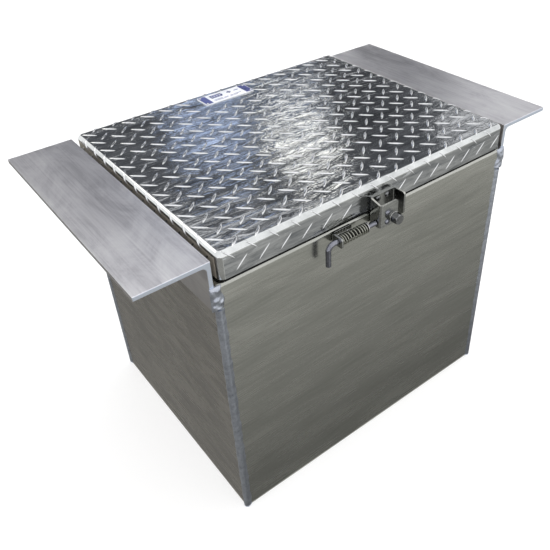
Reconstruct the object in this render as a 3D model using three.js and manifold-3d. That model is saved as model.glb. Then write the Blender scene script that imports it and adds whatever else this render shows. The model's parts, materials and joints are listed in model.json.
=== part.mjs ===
// A welded aluminium battery box for a truck or trailer frame, in millimetres, +Z up.
// The origin is at the middle of the underside. The latch is on the -Y face, the hinge on the +Y face,
// and the two mounting angles stand out along -X and +X. The pieces are laid out from the front face,
// y = 0, and the whole box is then moved forward by half its depth.
import * as THREE from 'three';
import { mergeVertices } from 'three/addons/utils/BufferGeometryUtils.js';
import Module from 'manifold-3d';

const wasm = await Module();
wasm.setup();

// The tub: five sheets welded along their corners.
const TUB_WIDTH = 544;
const TUB_DEPTH = 428;
const TUB_HEIGHT = 467;
const SHEET = 3.2;
const RIM_LIP = 18;
const RIM_BEND = 5;
const HALF = TUB_WIDTH / 2;
const BEAD_RADIUS = 5.5;
const DRAIN_RADIUS = 5;

// The two mounting angles, 4 in by 3 in by 1/4 in.
const ANGLE_FLANGE = 101.6;
const ANGLE_LEG = 76.2;
const ANGLE_THICK = 6.35;
const ANGLE_FILLET = 7;
const ANGLE_TOP = 506;
const ANGLE_FRONT = 2;
const ANGLE_REAR = TUB_DEPTH - ANGLE_FRONT;
const LEG_BOTTOM = ANGLE_TOP - ANGLE_LEG;

// The gasket and the lid, a pan folded from tread plate.
const GASKET_HEIGHT = 4;
const GASKET_WIDTH = 13;
const GASKET_INSET = 3;
const LID_LEFT = -263.5;
const LID_RIGHT = 267.5;
const LID_HEIGHT = 40;
const LID_SHEET = 2.5;
const LID_CORNER = 10;
const LID_BEND = 5;
const LID_BOTTOM = TUB_HEIGHT + GASKET_HEIGHT;
const LID_TOP = LID_BOTTOM + LID_HEIGHT;
const LABEL = { width: 107, depth: 41, thick: 1.5, rear: 415 };

// The long hinge on the rear face.
const HINGE_RADIUS = 3;
const HINGE_PIN_RADIUS = 1.2;
const HINGE_BORE_RADIUS = 1.5;
const HINGE_Y = TUB_DEPTH + HINGE_RADIUS;
const HINGE_Z = TUB_HEIGHT + 2;
const LEAF_THICK = 1.5;
const LEAF_HEIGHT = 28;
const LEAF_CLEAR = 3.7;
const KNUCKLE_COUNT = 7;
const KNUCKLE_LENGTH = 70;
const KNUCKLE_GAP = 0.6;
const HINGE_HALF = (KNUCKLE_COUNT * KNUCKLE_LENGTH) / 2;
const LEAF_RIVETS = [-200, 0, 200];

// The spring bolt on the front face, and the keeper that it shoots into.
const ROD_RADIUS = 4;
const ROD_Y = -15;
const ROD_Z = 458;
const HANDLE_X = -105;
const HANDLE_DROP = 34;
const HANDLE_BEND = 10;
const KEEPER = { left: -18.5, right: 29.5, front: -24, bottom: 451, top: 492, sheet: 3 };
const KEEPER_FLANGE = { end: 14.5, top: 487 };
const KEEPER_EAR = { front: -23, chamfer: 8 };
const KEEPER_BOLT = { x: 7, z: 462, head: 7.5, height: 6.5, shank: 4, hole: 4.3 };
const KEEPER_WASHER = { radius: 8, thick: 1.5 };
const KEEPER_RIVET = { xs: [-4.5, 13], z: 486, radius: 3.6, height: 2 };
const KEEPER_SCREW = { x: -6, zs: [473.5, 458.5], radius: 3, height: 2.2 };
const SOCKET = { length: 13, rear: -9, bottom: 451.5, top: 468, depth: 10 };
const ROD_TIP = KEEPER.left - 0.8;
const GUIDE = { left: -88.5, right: -53, front: -24, bottom: 450, top: 465, sheet: 3 };
const GUIDE_RIVET = { xs: [-77, -60], z: 456, radius: 3, height: 1.4 };
const SPRING = { outer: 7, inner: 4.6, start: GUIDE.left + GUIDE.sheet + 0.4, end: -38 };
const SPRING_WASHER = { thick: 1.4, outer: 7.5 };
const COTTER = { x: -34.4, radius: 1.2, half: 8 };
const CLEARANCE = 0.6;

// Inside: the rubber mat and the hold-down.
const MAT = { inset: 12, thick: 5 };
const TIE = { x: 238, y: TUB_DEPTH / 2, radius: 4, top: 292 };
const BAR = { bottom: 246, height: 25, width: 25, sheet: 3, overhang: 16 };
const CLIP = { width: 30, depth: 24, height: 14, sheet: 3 };
const GROMMET = { x: 150, z: 400, outer: 24, groove: 20, bore: 14, lip: 3 };

// ---- shape helpers ----

function solid(geometry) {
  const plain = geometry.clone();
  plain.deleteAttribute('normal');
  plain.deleteAttribute('uv');
  const merged = mergeVertices(plain, 1e-4);
  const mesh = new wasm.Mesh({
    numProp: 3,
    vertProperties: new Float32Array(merged.attributes.position.array),
    triVerts: new Uint32Array(merged.index.array),
  });
  return new wasm.Manifold(mesh);
}

function shell(manifold) {
  const mesh = manifold.getMesh();
  const geometry = new THREE.BufferGeometry();
  geometry.setAttribute('position', new THREE.BufferAttribute(new Float32Array(mesh.vertProperties), 3));
  geometry.setIndex(new THREE.BufferAttribute(new Uint32Array(mesh.triVerts), 1));
  return geometry;
}

function cut(geometry, ...tools) {
  return shell(tools.reduce((body, tool) => body.subtract(solid(tool)), solid(geometry)));
}

function join(geometry, ...others) {
  return shell(others.reduce((body, other) => body.add(solid(other)), solid(geometry)));
}

function block(x0, x1, y0, y1, z0, z1) {
  const geometry = new THREE.BoxGeometry(x1 - x0, y1 - y0, z1 - z0);
  return geometry.translate((x0 + x1) / 2, (y0 + y1) / 2, (z0 + z1) / 2);
}

function extrude(shape, depth, segments) {
  return new THREE.ExtrudeGeometry(shape, { depth, bevelEnabled: false, curveSegments: segments });
}

// The shape's x and y become Y and Z, and it is extruded along X.
function alongX(shape, x0, x1, segments = 5) {
  const turn = new THREE.Matrix4().makeBasis(
    new THREE.Vector3(0, 1, 0),
    new THREE.Vector3(0, 0, 1),
    new THREE.Vector3(1, 0, 0),
  );
  return extrude(shape, x1 - x0, segments).applyMatrix4(turn).translate(x0, 0, 0);
}

// The shape's x and y become X and Z, and it is extruded along Y.
function alongY(shape, y0, y1, segments = 5) {
  return extrude(shape, y1 - y0, segments).rotateX(Math.PI / 2).translate(0, y1, 0);
}

function alongZ(shape, z0, z1, segments = 5) {
  return extrude(shape, z1 - z0, segments).translate(0, 0, z0);
}

function outline(points) {
  return new THREE.Shape(points.map(([x, y]) => new THREE.Vector2(x, y)));
}

function roundedRectangle(x0, x1, y0, y1, radius) {
  const shape = new THREE.Shape();
  shape.moveTo(x0 + radius, y0);
  shape.lineTo(x1 - radius, y0);
  shape.absarc(x1 - radius, y0 + radius, radius, -Math.PI / 2, 0, false);
  shape.lineTo(x1, y1 - radius);
  shape.absarc(x1 - radius, y1 - radius, radius, 0, Math.PI / 2, false);
  shape.lineTo(x0 + radius, y1);
  shape.absarc(x0 + radius, y1 - radius, radius, Math.PI / 2, Math.PI, false);
  shape.lineTo(x0, y0 + radius);
  shape.absarc(x0 + radius, y0 + radius, radius, Math.PI, Math.PI * 1.5, false);
  return shape;
}

// A cylinder on a line along 'x', 'y' or 'z', from one coordinate to another.
function cylinder(axis, radius, from, to, a, b, sides = 16) {
  const geometry = new THREE.CylinderGeometry(radius, radius, to - from, sides);
  const middle = (from + to) / 2;
  if (axis === 'x') {
    return geometry.rotateZ(-Math.PI / 2).translate(middle, a, b);
  }
  if (axis === 'y') {
    return geometry.translate(a, middle, b);
  }
  return geometry.rotateX(Math.PI / 2).translate(a, b, middle);
}

// A domed head on a face, standing out along -Y from y.
function domedHead(x, y, z, radius, height) {
  const profile = [new THREE.Vector2(0, 0), new THREE.Vector2(radius, 0)];
  for (let step = 1; step <= 3; step += 1) {
    const angle = (step / 4) * (Math.PI / 2);
    profile.push(new THREE.Vector2(radius * Math.cos(angle), height * Math.sin(angle)));
  }
  profile.push(new THREE.Vector2(0, height));
  return new THREE.LatheGeometry(profile, 12).rotateX(Math.PI).translate(x, y, z);
}

const box = new THREE.Group();
box.position.y = -TUB_DEPTH / 2;
const lid = new THREE.Group();
const latch = new THREE.Group();
const holdDown = new THREE.Group();
box.add(lid, latch, holdDown);

const FINISHES = {
  sheet: { color: 0x8f8d87, roughness: 0.35, metalness: 0.95 },
  mill: { color: 0xb9b9bd, roughness: 0.4, metalness: 0.95 },
  tread: { color: 0xb4b6b8, roughness: 0.2, metalness: 1 },
  weld: { color: 0x8b909c, roughness: 0.45, metalness: 0.9 },
  zinc: { color: 0xa09f9c, roughness: 0.25, metalness: 1 },
  rubber: { color: 0x131313, roughness: 0.8, metalness: 0 },
  label: { color: 0xe9eaec, roughness: 0.35, metalness: 0 },
};

function piece(group, name, finish, geometry) {
  const mesh = new THREE.Mesh(geometry, new THREE.MeshStandardMaterial(FINISHES[finish]));
  mesh.name = name;
  group.add(mesh);
}

// ---- the tub ----

// A wall's section: the sheet stands on the floor line, and its top edge is folded inwards.
function foldedSection() {
  const shape = new THREE.Shape();
  shape.moveTo(0, 0);
  shape.lineTo(SHEET, 0);
  shape.lineTo(SHEET, TUB_HEIGHT - SHEET);
  shape.lineTo(RIM_LIP, TUB_HEIGHT - SHEET);
  shape.lineTo(RIM_LIP, TUB_HEIGHT);
  shape.lineTo(RIM_BEND, TUB_HEIGHT);
  shape.absarc(RIM_BEND, TUB_HEIGHT - RIM_BEND, RIM_BEND, Math.PI / 2, Math.PI, false);
  return shape;
}

function frontAndRearPanels() {
  const inner = HALF - SHEET;
  const front = alongX(foldedSection(), -inner, inner);
  piece(box, 'front_panel', 'sheet', front);
  const rear = front.clone().rotateZ(Math.PI).translate(0, TUB_DEPTH, 0);
  const holes = [-GROMMET.x, GROMMET.x].map((x) =>
    cylinder('y', GROMMET.groove, TUB_DEPTH - 2 * SHEET, TUB_DEPTH + SHEET, x, GROMMET.z, 24));
  piece(box, 'rear_panel', 'sheet', cut(rear, ...holes));
}

function sidePanel(name, side) {
  const outer = side * HALF;
  const inner = side * (HALF - SHEET);
  const lip = side * (HALF - RIM_LIP);
  const order = (a, b) => [Math.min(a, b), Math.max(a, b)];
  const wall = block(...order(outer, inner), SHEET, TUB_DEPTH - SHEET, 0, TUB_HEIGHT);
  const lipGap = RIM_LIP + 0.3;
  const rim = block(...order(inner, lip), lipGap, TUB_DEPTH - lipGap, TUB_HEIGHT - SHEET, TUB_HEIGHT);
  piece(box, name, 'sheet', join(wall, rim));
}

function floorPanel() {
  const inner = HALF - SHEET;
  const sheet = block(-inner, inner, SHEET, TUB_DEPTH - SHEET, 0, SHEET);
  const drains = [];
  for (const x of [-200, 200]) {
    for (const y of [60, TUB_DEPTH - 60]) {
      drains.push(cylinder('z', DRAIN_RADIUS, -1, SHEET + 1, x, y, 12));
    }
  }
  piece(box, 'floor_panel', 'sheet', cut(sheet, ...drains));
}

// A weld bead in the open notch of the front left corner, lapping over both sheets.
function cornerBead() {
  const centre = { x: -HALF + 3, y: 3 };
  const reach = Math.sqrt(BEAD_RADIUS ** 2 - 3 ** 2);
  const start = Math.atan2(-3, reach);
  const end = Math.atan2(reach, -3);
  const shape = new THREE.Shape();
  shape.moveTo(-HALF + SHEET, SHEET);
  shape.lineTo(-HALF, SHEET);
  shape.lineTo(-HALF, centre.y + reach);
  shape.absarc(centre.x, centre.y, BEAD_RADIUS, end, start + Math.PI * 2, false);
  shape.lineTo(-HALF + SHEET, 0);
  return alongZ(shape, 0, LEG_BOTTOM - 0.3, 8);
}

// The heavier weld that also takes in the end of the angle's leg.
function legBead() {
  const shape = new THREE.Shape();
  shape.moveTo(-HALF + SHEET, SHEET);
  shape.lineTo(-HALF, SHEET);
  shape.lineTo(-HALF, ANGLE_FRONT);
  shape.lineTo(-HALF - ANGLE_THICK, ANGLE_FRONT);
  shape.absellipse(-HALF + 0.5, ANGLE_FRONT - 2, ANGLE_THICK + 0.8, 4, Math.PI * 0.85, Math.PI * 2, false);
  shape.lineTo(-HALF + SHEET, 0);
  return alongZ(shape, LEG_BOTTOM, TUB_HEIGHT, 10);
}

// A mirror image about the tub's middle planes, its faces turned so that they still point out.
function mirrored(geometry, alongWidth, alongDepth) {
  const copy = mergeVertices(geometry.clone().deleteAttribute('normal').deleteAttribute('uv'), 1e-4);
  copy.translate(0, -TUB_DEPTH / 2, 0).scale(alongWidth, alongDepth, 1).translate(0, TUB_DEPTH / 2, 0);
  if (alongWidth * alongDepth < 0) {
    const order = Array.from(copy.index.array);
    for (let at = 0; at < order.length; at += 3) {
      [order[at], order[at + 1]] = [order[at + 1], order[at]];
    }
    copy.setIndex(order);
  }
  return copy;
}

// A front left solid and its images in the other three corners.
function fourCorners(name, finish, frontLeft) {
  piece(box, `${name}_front_left`, finish, frontLeft);
  piece(box, `${name}_front_right`, finish, mirrored(frontLeft, -1, 1));
  piece(box, `${name}_rear_left`, finish, mirrored(frontLeft, 1, -1));
  piece(box, `${name}_rear_right`, finish, mirrored(frontLeft, -1, -1));
}

function mountingAngle(name, side) {
  const inner = HALF;
  const shape = new THREE.Shape();
  shape.moveTo(inner, LEG_BOTTOM);
  shape.lineTo(inner + ANGLE_THICK, LEG_BOTTOM);
  const fillet = ANGLE_TOP - ANGLE_THICK - ANGLE_FILLET;
  shape.lineTo(inner + ANGLE_THICK, fillet);
  shape.absarc(inner + ANGLE_THICK + ANGLE_FILLET, fillet, ANGLE_FILLET, Math.PI, Math.PI / 2, true);
  shape.lineTo(inner + ANGLE_FLANGE, ANGLE_TOP - ANGLE_THICK);
  shape.lineTo(inner + ANGLE_FLANGE, ANGLE_TOP);
  shape.lineTo(inner, ANGLE_TOP);
  const right = alongY(shape, ANGLE_FRONT, ANGLE_REAR);
  piece(box, name, 'mill', side > 0 ? right : mirrored(right, -1, 1));
}

function gasket() {
  const near = GASKET_INSET;
  const far = GASKET_INSET + GASKET_WIDTH;
  const z0 = TUB_HEIGHT;
  const z1 = LID_BOTTOM;
  const reach = HALF - GASKET_INSET - 2;
  piece(box, 'gasket_front', 'rubber', block(-reach, reach, near, far, z0, z1));
  piece(box, 'gasket_rear', 'rubber', block(-reach, reach, TUB_DEPTH - far, TUB_DEPTH - near, z0, z1));
  const y0 = far + 0.3;
  const y1 = TUB_DEPTH - far - 0.3;
  piece(box, 'gasket_left', 'rubber', block(-reach, -reach + GASKET_WIDTH, y0, y1, z0, z1));
  piece(box, 'gasket_right', 'rubber', block(reach - GASKET_WIDTH, reach, y0, y1, z0, z1));
}

// A grommet fills its hole in the rear panel, with a lip on each face and a bore for the cable.
function grommet(name, x) {
  const { outer, groove, bore, lip } = GROMMET;
  const gap = 0.3;
  const profile = [
    new THREE.Vector2(bore, -SHEET - lip),
    new THREE.Vector2(outer - 2, -SHEET - lip),
    new THREE.Vector2(outer, -SHEET - gap),
    new THREE.Vector2(groove - gap, -SHEET - gap),
    new THREE.Vector2(groove - gap, gap),
    new THREE.Vector2(outer, gap),
    new THREE.Vector2(outer - 2, lip),
    new THREE.Vector2(bore, lip),
    new THREE.Vector2(bore, -SHEET - lip),
  ];
  const ring = new THREE.LatheGeometry(profile, 24).translate(x, TUB_DEPTH, GROMMET.z);
  piece(box, name, 'rubber', ring);
}

// ---- the lid and its hinge ----

function lidShell() {
  const inset = LID_BEND;
  const shape = roundedRectangle(
    LID_LEFT + inset,
    LID_RIGHT - inset,
    inset,
    TUB_DEPTH - inset,
    LID_CORNER - inset,
  );
  const pan = new THREE.ExtrudeGeometry(shape, {
    depth: LID_HEIGHT,
    bevelEnabled: true,
    bevelThickness: LID_BEND,
    bevelSize: LID_BEND,
    bevelSegments: 4,
    curveSegments: 4,
  }).translate(0, 0, LID_BOTTOM - LID_BEND);
  const below = block(-HALF - 1, HALF + 1, -1, TUB_DEPTH + 1, LID_BOTTOM - 2 * LID_BEND, LID_BOTTOM);
  const t = LID_SHEET;
  const hollow = alongZ(
    roundedRectangle(LID_LEFT + t, LID_RIGHT - t, t, TUB_DEPTH - t, LID_CORNER - t),
    LID_BOTTOM - 1,
    LID_TOP - t,
    4,
  );
  piece(lid, 'lid_shell', 'tread', cut(pan, below, hollow));
}

function labelPlate() {
  const half = LABEL.width / 2;
  const shape = roundedRectangle(-half, half, LABEL.rear - LABEL.depth, LABEL.rear, 3);
  piece(lid, 'label_plate', 'label', alongZ(shape, LID_TOP, LID_TOP + LABEL.thick, 3));
}

// One leaf: a plate on the rear face and every second knuckle, bored for the pin.
function hingeLeaf(first, z0, z1) {
  let leaf = block(-HINGE_HALF, HINGE_HALF, TUB_DEPTH, TUB_DEPTH + LEAF_THICK, z0, z1);
  const bores = [];
  for (let index = first; index < KNUCKLE_COUNT; index += 2) {
    const x0 = -HINGE_HALF + index * KNUCKLE_LENGTH + KNUCKLE_GAP / 2;
    const x1 = x0 + KNUCKLE_LENGTH - KNUCKLE_GAP;
    const low = Math.min(z1 - 1, HINGE_Z);
    const high = Math.max(z0 + 1, HINGE_Z);
    const tab = block(x0, x1, TUB_DEPTH, TUB_DEPTH + LEAF_THICK, low, high);
    leaf = join(leaf, tab, cylinder('x', HINGE_RADIUS, x0, x1, HINGE_Y, HINGE_Z, 12));
    bores.push(cylinder('x', HINGE_BORE_RADIUS, x0 - 1, x1 + 1, HINGE_Y, HINGE_Z, 12));
  }
  return cut(leaf, ...bores);
}

function hinge() {
  const tubTop = HINGE_Z - LEAF_CLEAR;
  const lidFoot = HINGE_Z + LEAF_CLEAR;
  piece(box, 'hinge_tub_leaf', 'mill', hingeLeaf(0, tubTop - LEAF_HEIGHT, tubTop));
  piece(lid, 'hinge_lid_leaf', 'mill', hingeLeaf(1, lidFoot, lidFoot + LEAF_HEIGHT));
  const pin = cylinder('x', HINGE_PIN_RADIUS, -HINGE_HALF, HINGE_HALF, HINGE_Y, HINGE_Z, 12);
  piece(box, 'hinge_pin', 'zinc', pin);
  LEAF_RIVETS.forEach((x, index) => {
    const face = -(TUB_DEPTH + LEAF_THICK);
    const low = domedHead(-x, face, tubTop - LEAF_HEIGHT / 2, 3.5, 1.6).rotateZ(Math.PI);
    const high = domedHead(-x, face, lidFoot + LEAF_HEIGHT / 2, 3.5, 1.6).rotateZ(Math.PI);
    piece(box, `hinge_tub_rivet_${index + 1}`, 'mill', low);
    piece(lid, `hinge_lid_rivet_${index + 1}`, 'mill', high);
  });
}

// ---- the keeper, on the lid ----

function keeper() {
  const { left, right, front, bottom, top, sheet } = KEEPER;
  const plan = outline([
    [left, 0],
    [left, front],
    [KEEPER_FLANGE.end, front],
    [KEEPER_FLANGE.end, front + sheet],
    [left + sheet, front + sheet],
    [left + sheet, -sheet],
    [right - sheet, -sheet],
    [right - sheet, KEEPER_EAR.front],
    [right, KEEPER_EAR.front],
    [right, 0],
  ]);
  const bracket = alongZ(plan, bottom, top);
  const slope = outline([
    [-sheet, top],
    [-sheet, top + 1],
    [front - 1, top + 1],
    [front - 1, KEEPER_FLANGE.top],
  ]);
  const chamfer = outline([
    [KEEPER_EAR.front - 1, bottom - 1],
    [KEEPER_EAR.front + KEEPER_EAR.chamfer + 1, bottom - 1],
    [KEEPER_EAR.front - 1, bottom + KEEPER_EAR.chamfer + 1],
  ]);
  const { x, z, hole } = KEEPER_BOLT;
  piece(lid, 'latch_keeper', 'zinc', cut(
    bracket,
    alongX(slope, left - 1, KEEPER_FLANGE.end + 1),
    alongX(chamfer, right - sheet - 1, right + 1),
    block(left - 1, right + 1, -1, 1, bottom - 1, LID_BOTTOM),
    cylinder('x', ROD_RADIUS + CLEARANCE, left - 1, left + sheet + 1, ROD_Y, ROD_Z, 16),
    cylinder('y', hole, front - 1, front + sheet + 1, x, z, 12),
  ));
}

// A block behind the flange that takes the tip of the bolt.
function keeperSocket() {
  const x0 = KEEPER.left + KEEPER.sheet + 0.5;
  const inside = KEEPER.front + KEEPER.sheet;
  const body = block(x0, x0 + SOCKET.length, inside, SOCKET.rear, SOCKET.bottom, SOCKET.top);
  const bore = cylinder('x', ROD_RADIUS + CLEARANCE, x0 - 1, x0 + SOCKET.depth, ROD_Y, ROD_Z, 16);
  piece(lid, 'keeper_socket', 'zinc', cut(body, bore));
}

function keeperFasteners() {
  const { front, sheet } = KEEPER;
  const rivet = KEEPER_RIVET;
  ['left', 'right'].forEach((side, index) => {
    const dome = domedHead(rivet.xs[index], -sheet, rivet.z, rivet.radius, rivet.height);
    piece(lid, `keeper_rivet_${side}`, 'zinc', dome);
  });
  const screw = KEEPER_SCREW;
  ['upper', 'lower'].forEach((place, index) => {
    const dome = domedHead(screw.x, front, screw.zs[index], screw.radius, screw.height);
    piece(lid, `keeper_screw_${place}`, 'zinc', dome);
  });
  const bolt = KEEPER_BOLT;
  const washerFace = front - KEEPER_WASHER.thick;
  const washerRing = cut(
    cylinder('y', KEEPER_WASHER.radius, washerFace, front, bolt.x, bolt.z, 20),
    cylinder('y', bolt.hole, washerFace - 1, front + 1, bolt.x, bolt.z, 12),
  );
  piece(lid, 'keeper_washer', 'zinc', washerRing);
  const headFace = washerFace - 0.3;
  const head = cylinder('y', bolt.head, headFace - bolt.height, headFace, bolt.x, bolt.z, 6);
  const shank = cylinder('y', bolt.shank, headFace - 1, front + sheet + 8, bolt.x, bolt.z, 12);
  piece(lid, 'keeper_bolt', 'zinc', join(head, shank));
}

// ---- the spring bolt, on the tub ----

function guideBracket() {
  const { left, right, front, bottom, top, sheet } = GUIDE;
  const plan = outline([
    [left, 0],
    [left, front],
    [left + sheet, front],
    [left + sheet, -sheet],
    [right, -sheet],
    [right, 0],
  ]);
  const bracket = alongZ(plan, bottom, top);
  const hole = cylinder('x', ROD_RADIUS + CLEARANCE, left - 1, left + sheet + 1, ROD_Y, ROD_Z, 16);
  piece(latch, 'latch_guide', 'zinc', cut(bracket, hole));
  const rivet = GUIDE_RIVET;
  ['left', 'right'].forEach((side, index) => {
    const dome = domedHead(rivet.xs[index], -sheet, rivet.z, rivet.radius, rivet.height);
    piece(latch, `guide_rivet_${side}`, 'zinc', dome);
  });
}

// A straight rod along X whose left end is bent down into a handle.
function latchRod() {
  const path = new THREE.CurvePath();
  const corner = new THREE.Vector3(HANDLE_X, ROD_Y, ROD_Z);
  const foot = new THREE.Vector3(HANDLE_X, ROD_Y, ROD_Z - HANDLE_DROP);
  const below = new THREE.Vector3(HANDLE_X, ROD_Y, ROD_Z - HANDLE_BEND);
  const beside = new THREE.Vector3(HANDLE_X + HANDLE_BEND, ROD_Y, ROD_Z);
  const tip = new THREE.Vector3(ROD_TIP, ROD_Y, ROD_Z);
  path.add(new THREE.LineCurve3(foot, below));
  path.add(new THREE.QuadraticBezierCurve3(below, corner, beside));
  path.add(new THREE.LineCurve3(beside, tip));
  const section = new THREE.Shape().absarc(0, 0, ROD_RADIUS, 0, Math.PI * 2, false);
  const settings = { steps: 40, extrudePath: path, curveSegments: 6, bevelEnabled: false };
  const rod = new THREE.ExtrudeGeometry(section, settings);
  const crossHole = cylinder('z', COTTER.radius + 0.3, ROD_Z - 9, ROD_Z + 9, COTTER.x, ROD_Y, 10);
  piece(latch, 'latch_rod', 'zinc', cut(rod, crossHole));
}

// A hollow sleeve of the spring's outer and inner sizes stands for its coils.
function latchSpring() {
  const { outer, inner, start, end } = SPRING;
  const profile = [
    new THREE.Vector2(inner, start),
    new THREE.Vector2(outer, start),
    new THREE.Vector2(outer, end),
    new THREE.Vector2(inner, end),
    new THREE.Vector2(inner, start),
  ];
  const sleeve = new THREE.LatheGeometry(profile, 14).rotateZ(-Math.PI / 2).translate(0, ROD_Y, ROD_Z);
  piece(latch, 'latch_spring', 'zinc', sleeve);
}

function springStops() {
  const x0 = SPRING.end + 0.3;
  const ring = cut(
    cylinder('x', SPRING_WASHER.outer, x0, x0 + SPRING_WASHER.thick, ROD_Y, ROD_Z, 16),
    cylinder('x', ROD_RADIUS + 0.4, x0 - 1, x0 + SPRING_WASHER.thick + 1, ROD_Y, ROD_Z, 16),
  );
  piece(latch, 'spring_washer', 'zinc', ring);
  const { x, radius, half } = COTTER;
  piece(latch, 'cotter_pin', 'zinc', cylinder('z', radius, ROD_Z - half, ROD_Z + half, x, ROD_Y, 10));
}

// ---- inside the tub ----

function floorMat() {
  const half = HALF - SHEET - MAT.inset;
  const y0 = SHEET + MAT.inset;
  const mat = block(-half, half, y0, TUB_DEPTH - y0, SHEET, SHEET + MAT.thick);
  const notches = [-1, 1].map((side) => block(
    side * TIE.x - CLIP.width / 2 - 1,
    side * TIE.x + CLIP.width / 2 + 1,
    TIE.y - CLIP.depth / 2 - 1,
    TIE.y + CLIP.depth / 2 + 1,
    SHEET - 1,
    SHEET + MAT.thick + 1,
  ));
  piece(box, 'floor_mat', 'rubber', cut(mat, ...notches));
}

// One end of the hold-down: a hat-shaped floor clip, a threaded rod, a washer and a wing nut.
function tieRod(name, side) {
  const x = side * TIE.x;
  const y = TIE.y;
  const { width, depth, height, sheet } = CLIP;
  const clipTop = SHEET + height;
  const hat = cut(
    block(x - width / 2, x + width / 2, y - depth / 2, y + depth / 2, SHEET, clipTop),
    block(x - width / 2 + sheet, x + width / 2 - sheet, y - depth, y + depth, SHEET - 1, clipTop - sheet),
    cylinder('z', TIE.radius + 0.3, clipTop - sheet - 1, clipTop + 1, x, y, 12),
  );
  piece(holdDown, `hold_down_clip_${name}`, 'mill', hat);
  const head = cylinder('z', 6.5, clipTop - sheet - 5.5, clipTop - sheet - 0.3, x, y, 6);
  const rod = join(cylinder('z', TIE.radius, clipTop - sheet - 3, TIE.top, x, y, 12), head);
  piece(holdDown, `hold_down_rod_${name}`, 'zinc', rod);
  const barTop = BAR.bottom + BAR.height;
  const washer = cut(
    cylinder('z', 9, barTop, barTop + 1.6, x, y, 16),
    cylinder('z', TIE.radius + 0.4, barTop - 1, barTop + 3, x, y, 12),
  );
  piece(holdDown, `hold_down_washer_${name}`, 'zinc', washer);
  piece(holdDown, `wing_nut_${name}`, 'zinc', wingNut(x, y, barTop + 1.9));
}

function wingNut(x, y, z) {
  const hub = cylinder('z', 7, z, z + 9, x, y, 14);
  const wing = outline([
    [-17, 7],
    [-19, 15],
    [-12, 16],
    [0, 5],
    [12, 16],
    [19, 15],
    [17, 7],
    [5, 1],
    [-5, 1],
  ]);
  const blades = alongY(wing, y - 1.5, y + 1.5).translate(x, 0, z);
  const bore = cylinder('z', TIE.radius + 0.4, z - 1, z + 18, x, y, 12);
  return cut(join(hub, blades), bore);
}

// An upturned channel across the batteries, with a hole at each end for its rod.
function holdDownBar() {
  const reach = TIE.x + BAR.overhang;
  const half = BAR.width / 2;
  const top = BAR.bottom + BAR.height;
  const t = BAR.sheet;
  const channel = cut(
    block(-reach, reach, TIE.y - half, TIE.y + half, BAR.bottom, top),
    block(-reach - 1, reach + 1, TIE.y - half + t, TIE.y + half - t, BAR.bottom - 1, top - t),
    cylinder('z', TIE.radius + 0.6, top - t - 1, top + 1, -TIE.x, TIE.y, 12),
    cylinder('z', TIE.radius + 0.6, top - t - 1, top + 1, TIE.x, TIE.y, 12),
  );
  piece(holdDown, 'hold_down_bar', 'mill', channel);
}

floorPanel();
frontAndRearPanels();
sidePanel('left_panel', -1);
sidePanel('right_panel', 1);
fourCorners('corner_weld', 'weld', cornerBead());
fourCorners('leg_weld', 'weld', legBead());
mountingAngle('mounting_angle_left', -1);
mountingAngle('mounting_angle_right', 1);
gasket();
grommet('cable_grommet_left', -GROMMET.x);
grommet('cable_grommet_right', GROMMET.x);
lidShell();
labelPlate();
hinge();
keeper();
keeperSocket();
keeperFasteners();
guideBracket();
latchRod();
latchSpring();
springStops();
floorMat();
tieRod('left', -1);
tieRod('right', 1);
holdDownBar();

export default box;
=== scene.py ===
"""A battery box as a finished visual model: sheet, tread plate, welds, spring bolt, hinge and hold-down."""
import json
import math
import random

import bmesh
import bpy
from mathutils import Matrix, Vector


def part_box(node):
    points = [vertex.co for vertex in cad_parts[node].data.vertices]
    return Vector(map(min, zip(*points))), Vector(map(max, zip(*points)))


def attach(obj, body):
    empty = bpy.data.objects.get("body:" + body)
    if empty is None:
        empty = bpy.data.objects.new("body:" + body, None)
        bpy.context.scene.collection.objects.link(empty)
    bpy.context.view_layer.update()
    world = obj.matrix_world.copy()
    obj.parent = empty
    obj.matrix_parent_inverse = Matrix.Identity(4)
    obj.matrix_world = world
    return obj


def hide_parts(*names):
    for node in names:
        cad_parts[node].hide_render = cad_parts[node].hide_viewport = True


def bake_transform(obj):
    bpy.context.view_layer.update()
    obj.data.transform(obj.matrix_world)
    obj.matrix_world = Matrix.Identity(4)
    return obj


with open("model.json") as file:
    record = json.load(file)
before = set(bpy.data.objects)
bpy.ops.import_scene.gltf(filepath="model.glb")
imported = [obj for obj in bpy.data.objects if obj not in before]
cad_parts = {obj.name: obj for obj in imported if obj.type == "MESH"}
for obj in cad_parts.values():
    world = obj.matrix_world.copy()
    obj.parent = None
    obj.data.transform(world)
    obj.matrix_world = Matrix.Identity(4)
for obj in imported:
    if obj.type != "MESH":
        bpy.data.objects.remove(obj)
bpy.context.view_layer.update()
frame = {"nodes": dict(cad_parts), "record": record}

MM = 0.001
TAU = math.tau

# Places read from the frame, in metres.
LID_LOW, LID_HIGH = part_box("lid_shell")
FRONT_LOW, FRONT_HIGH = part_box("front_panel")
FRONT_Y = FRONT_LOW.y
RIM_Z = FRONT_HIGH.z
REAR_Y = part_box("rear_panel")[1].y
HALF_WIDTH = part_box("right_panel")[1].x

# The tub's sheet, and the fold along the top of its walls.
SHEET = 3.2 * MM
RIM_BEND = 5 * MM
RIM_LIP = 18 * MM


# ---------------------------------------------------------------- camera, stage and lights

CAMERA_PLACE = Vector((-0.5500, -0.7712, 0.9716))
CAMERA_AZIMUTH = -36.59
CAMERA_ELEVATION = 36.68
CAMERA_ROLL = -2.41
CAMERA_LENS = 42.69
CAMERA_SHIFT = (-0.0507, -0.0409)

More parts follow.
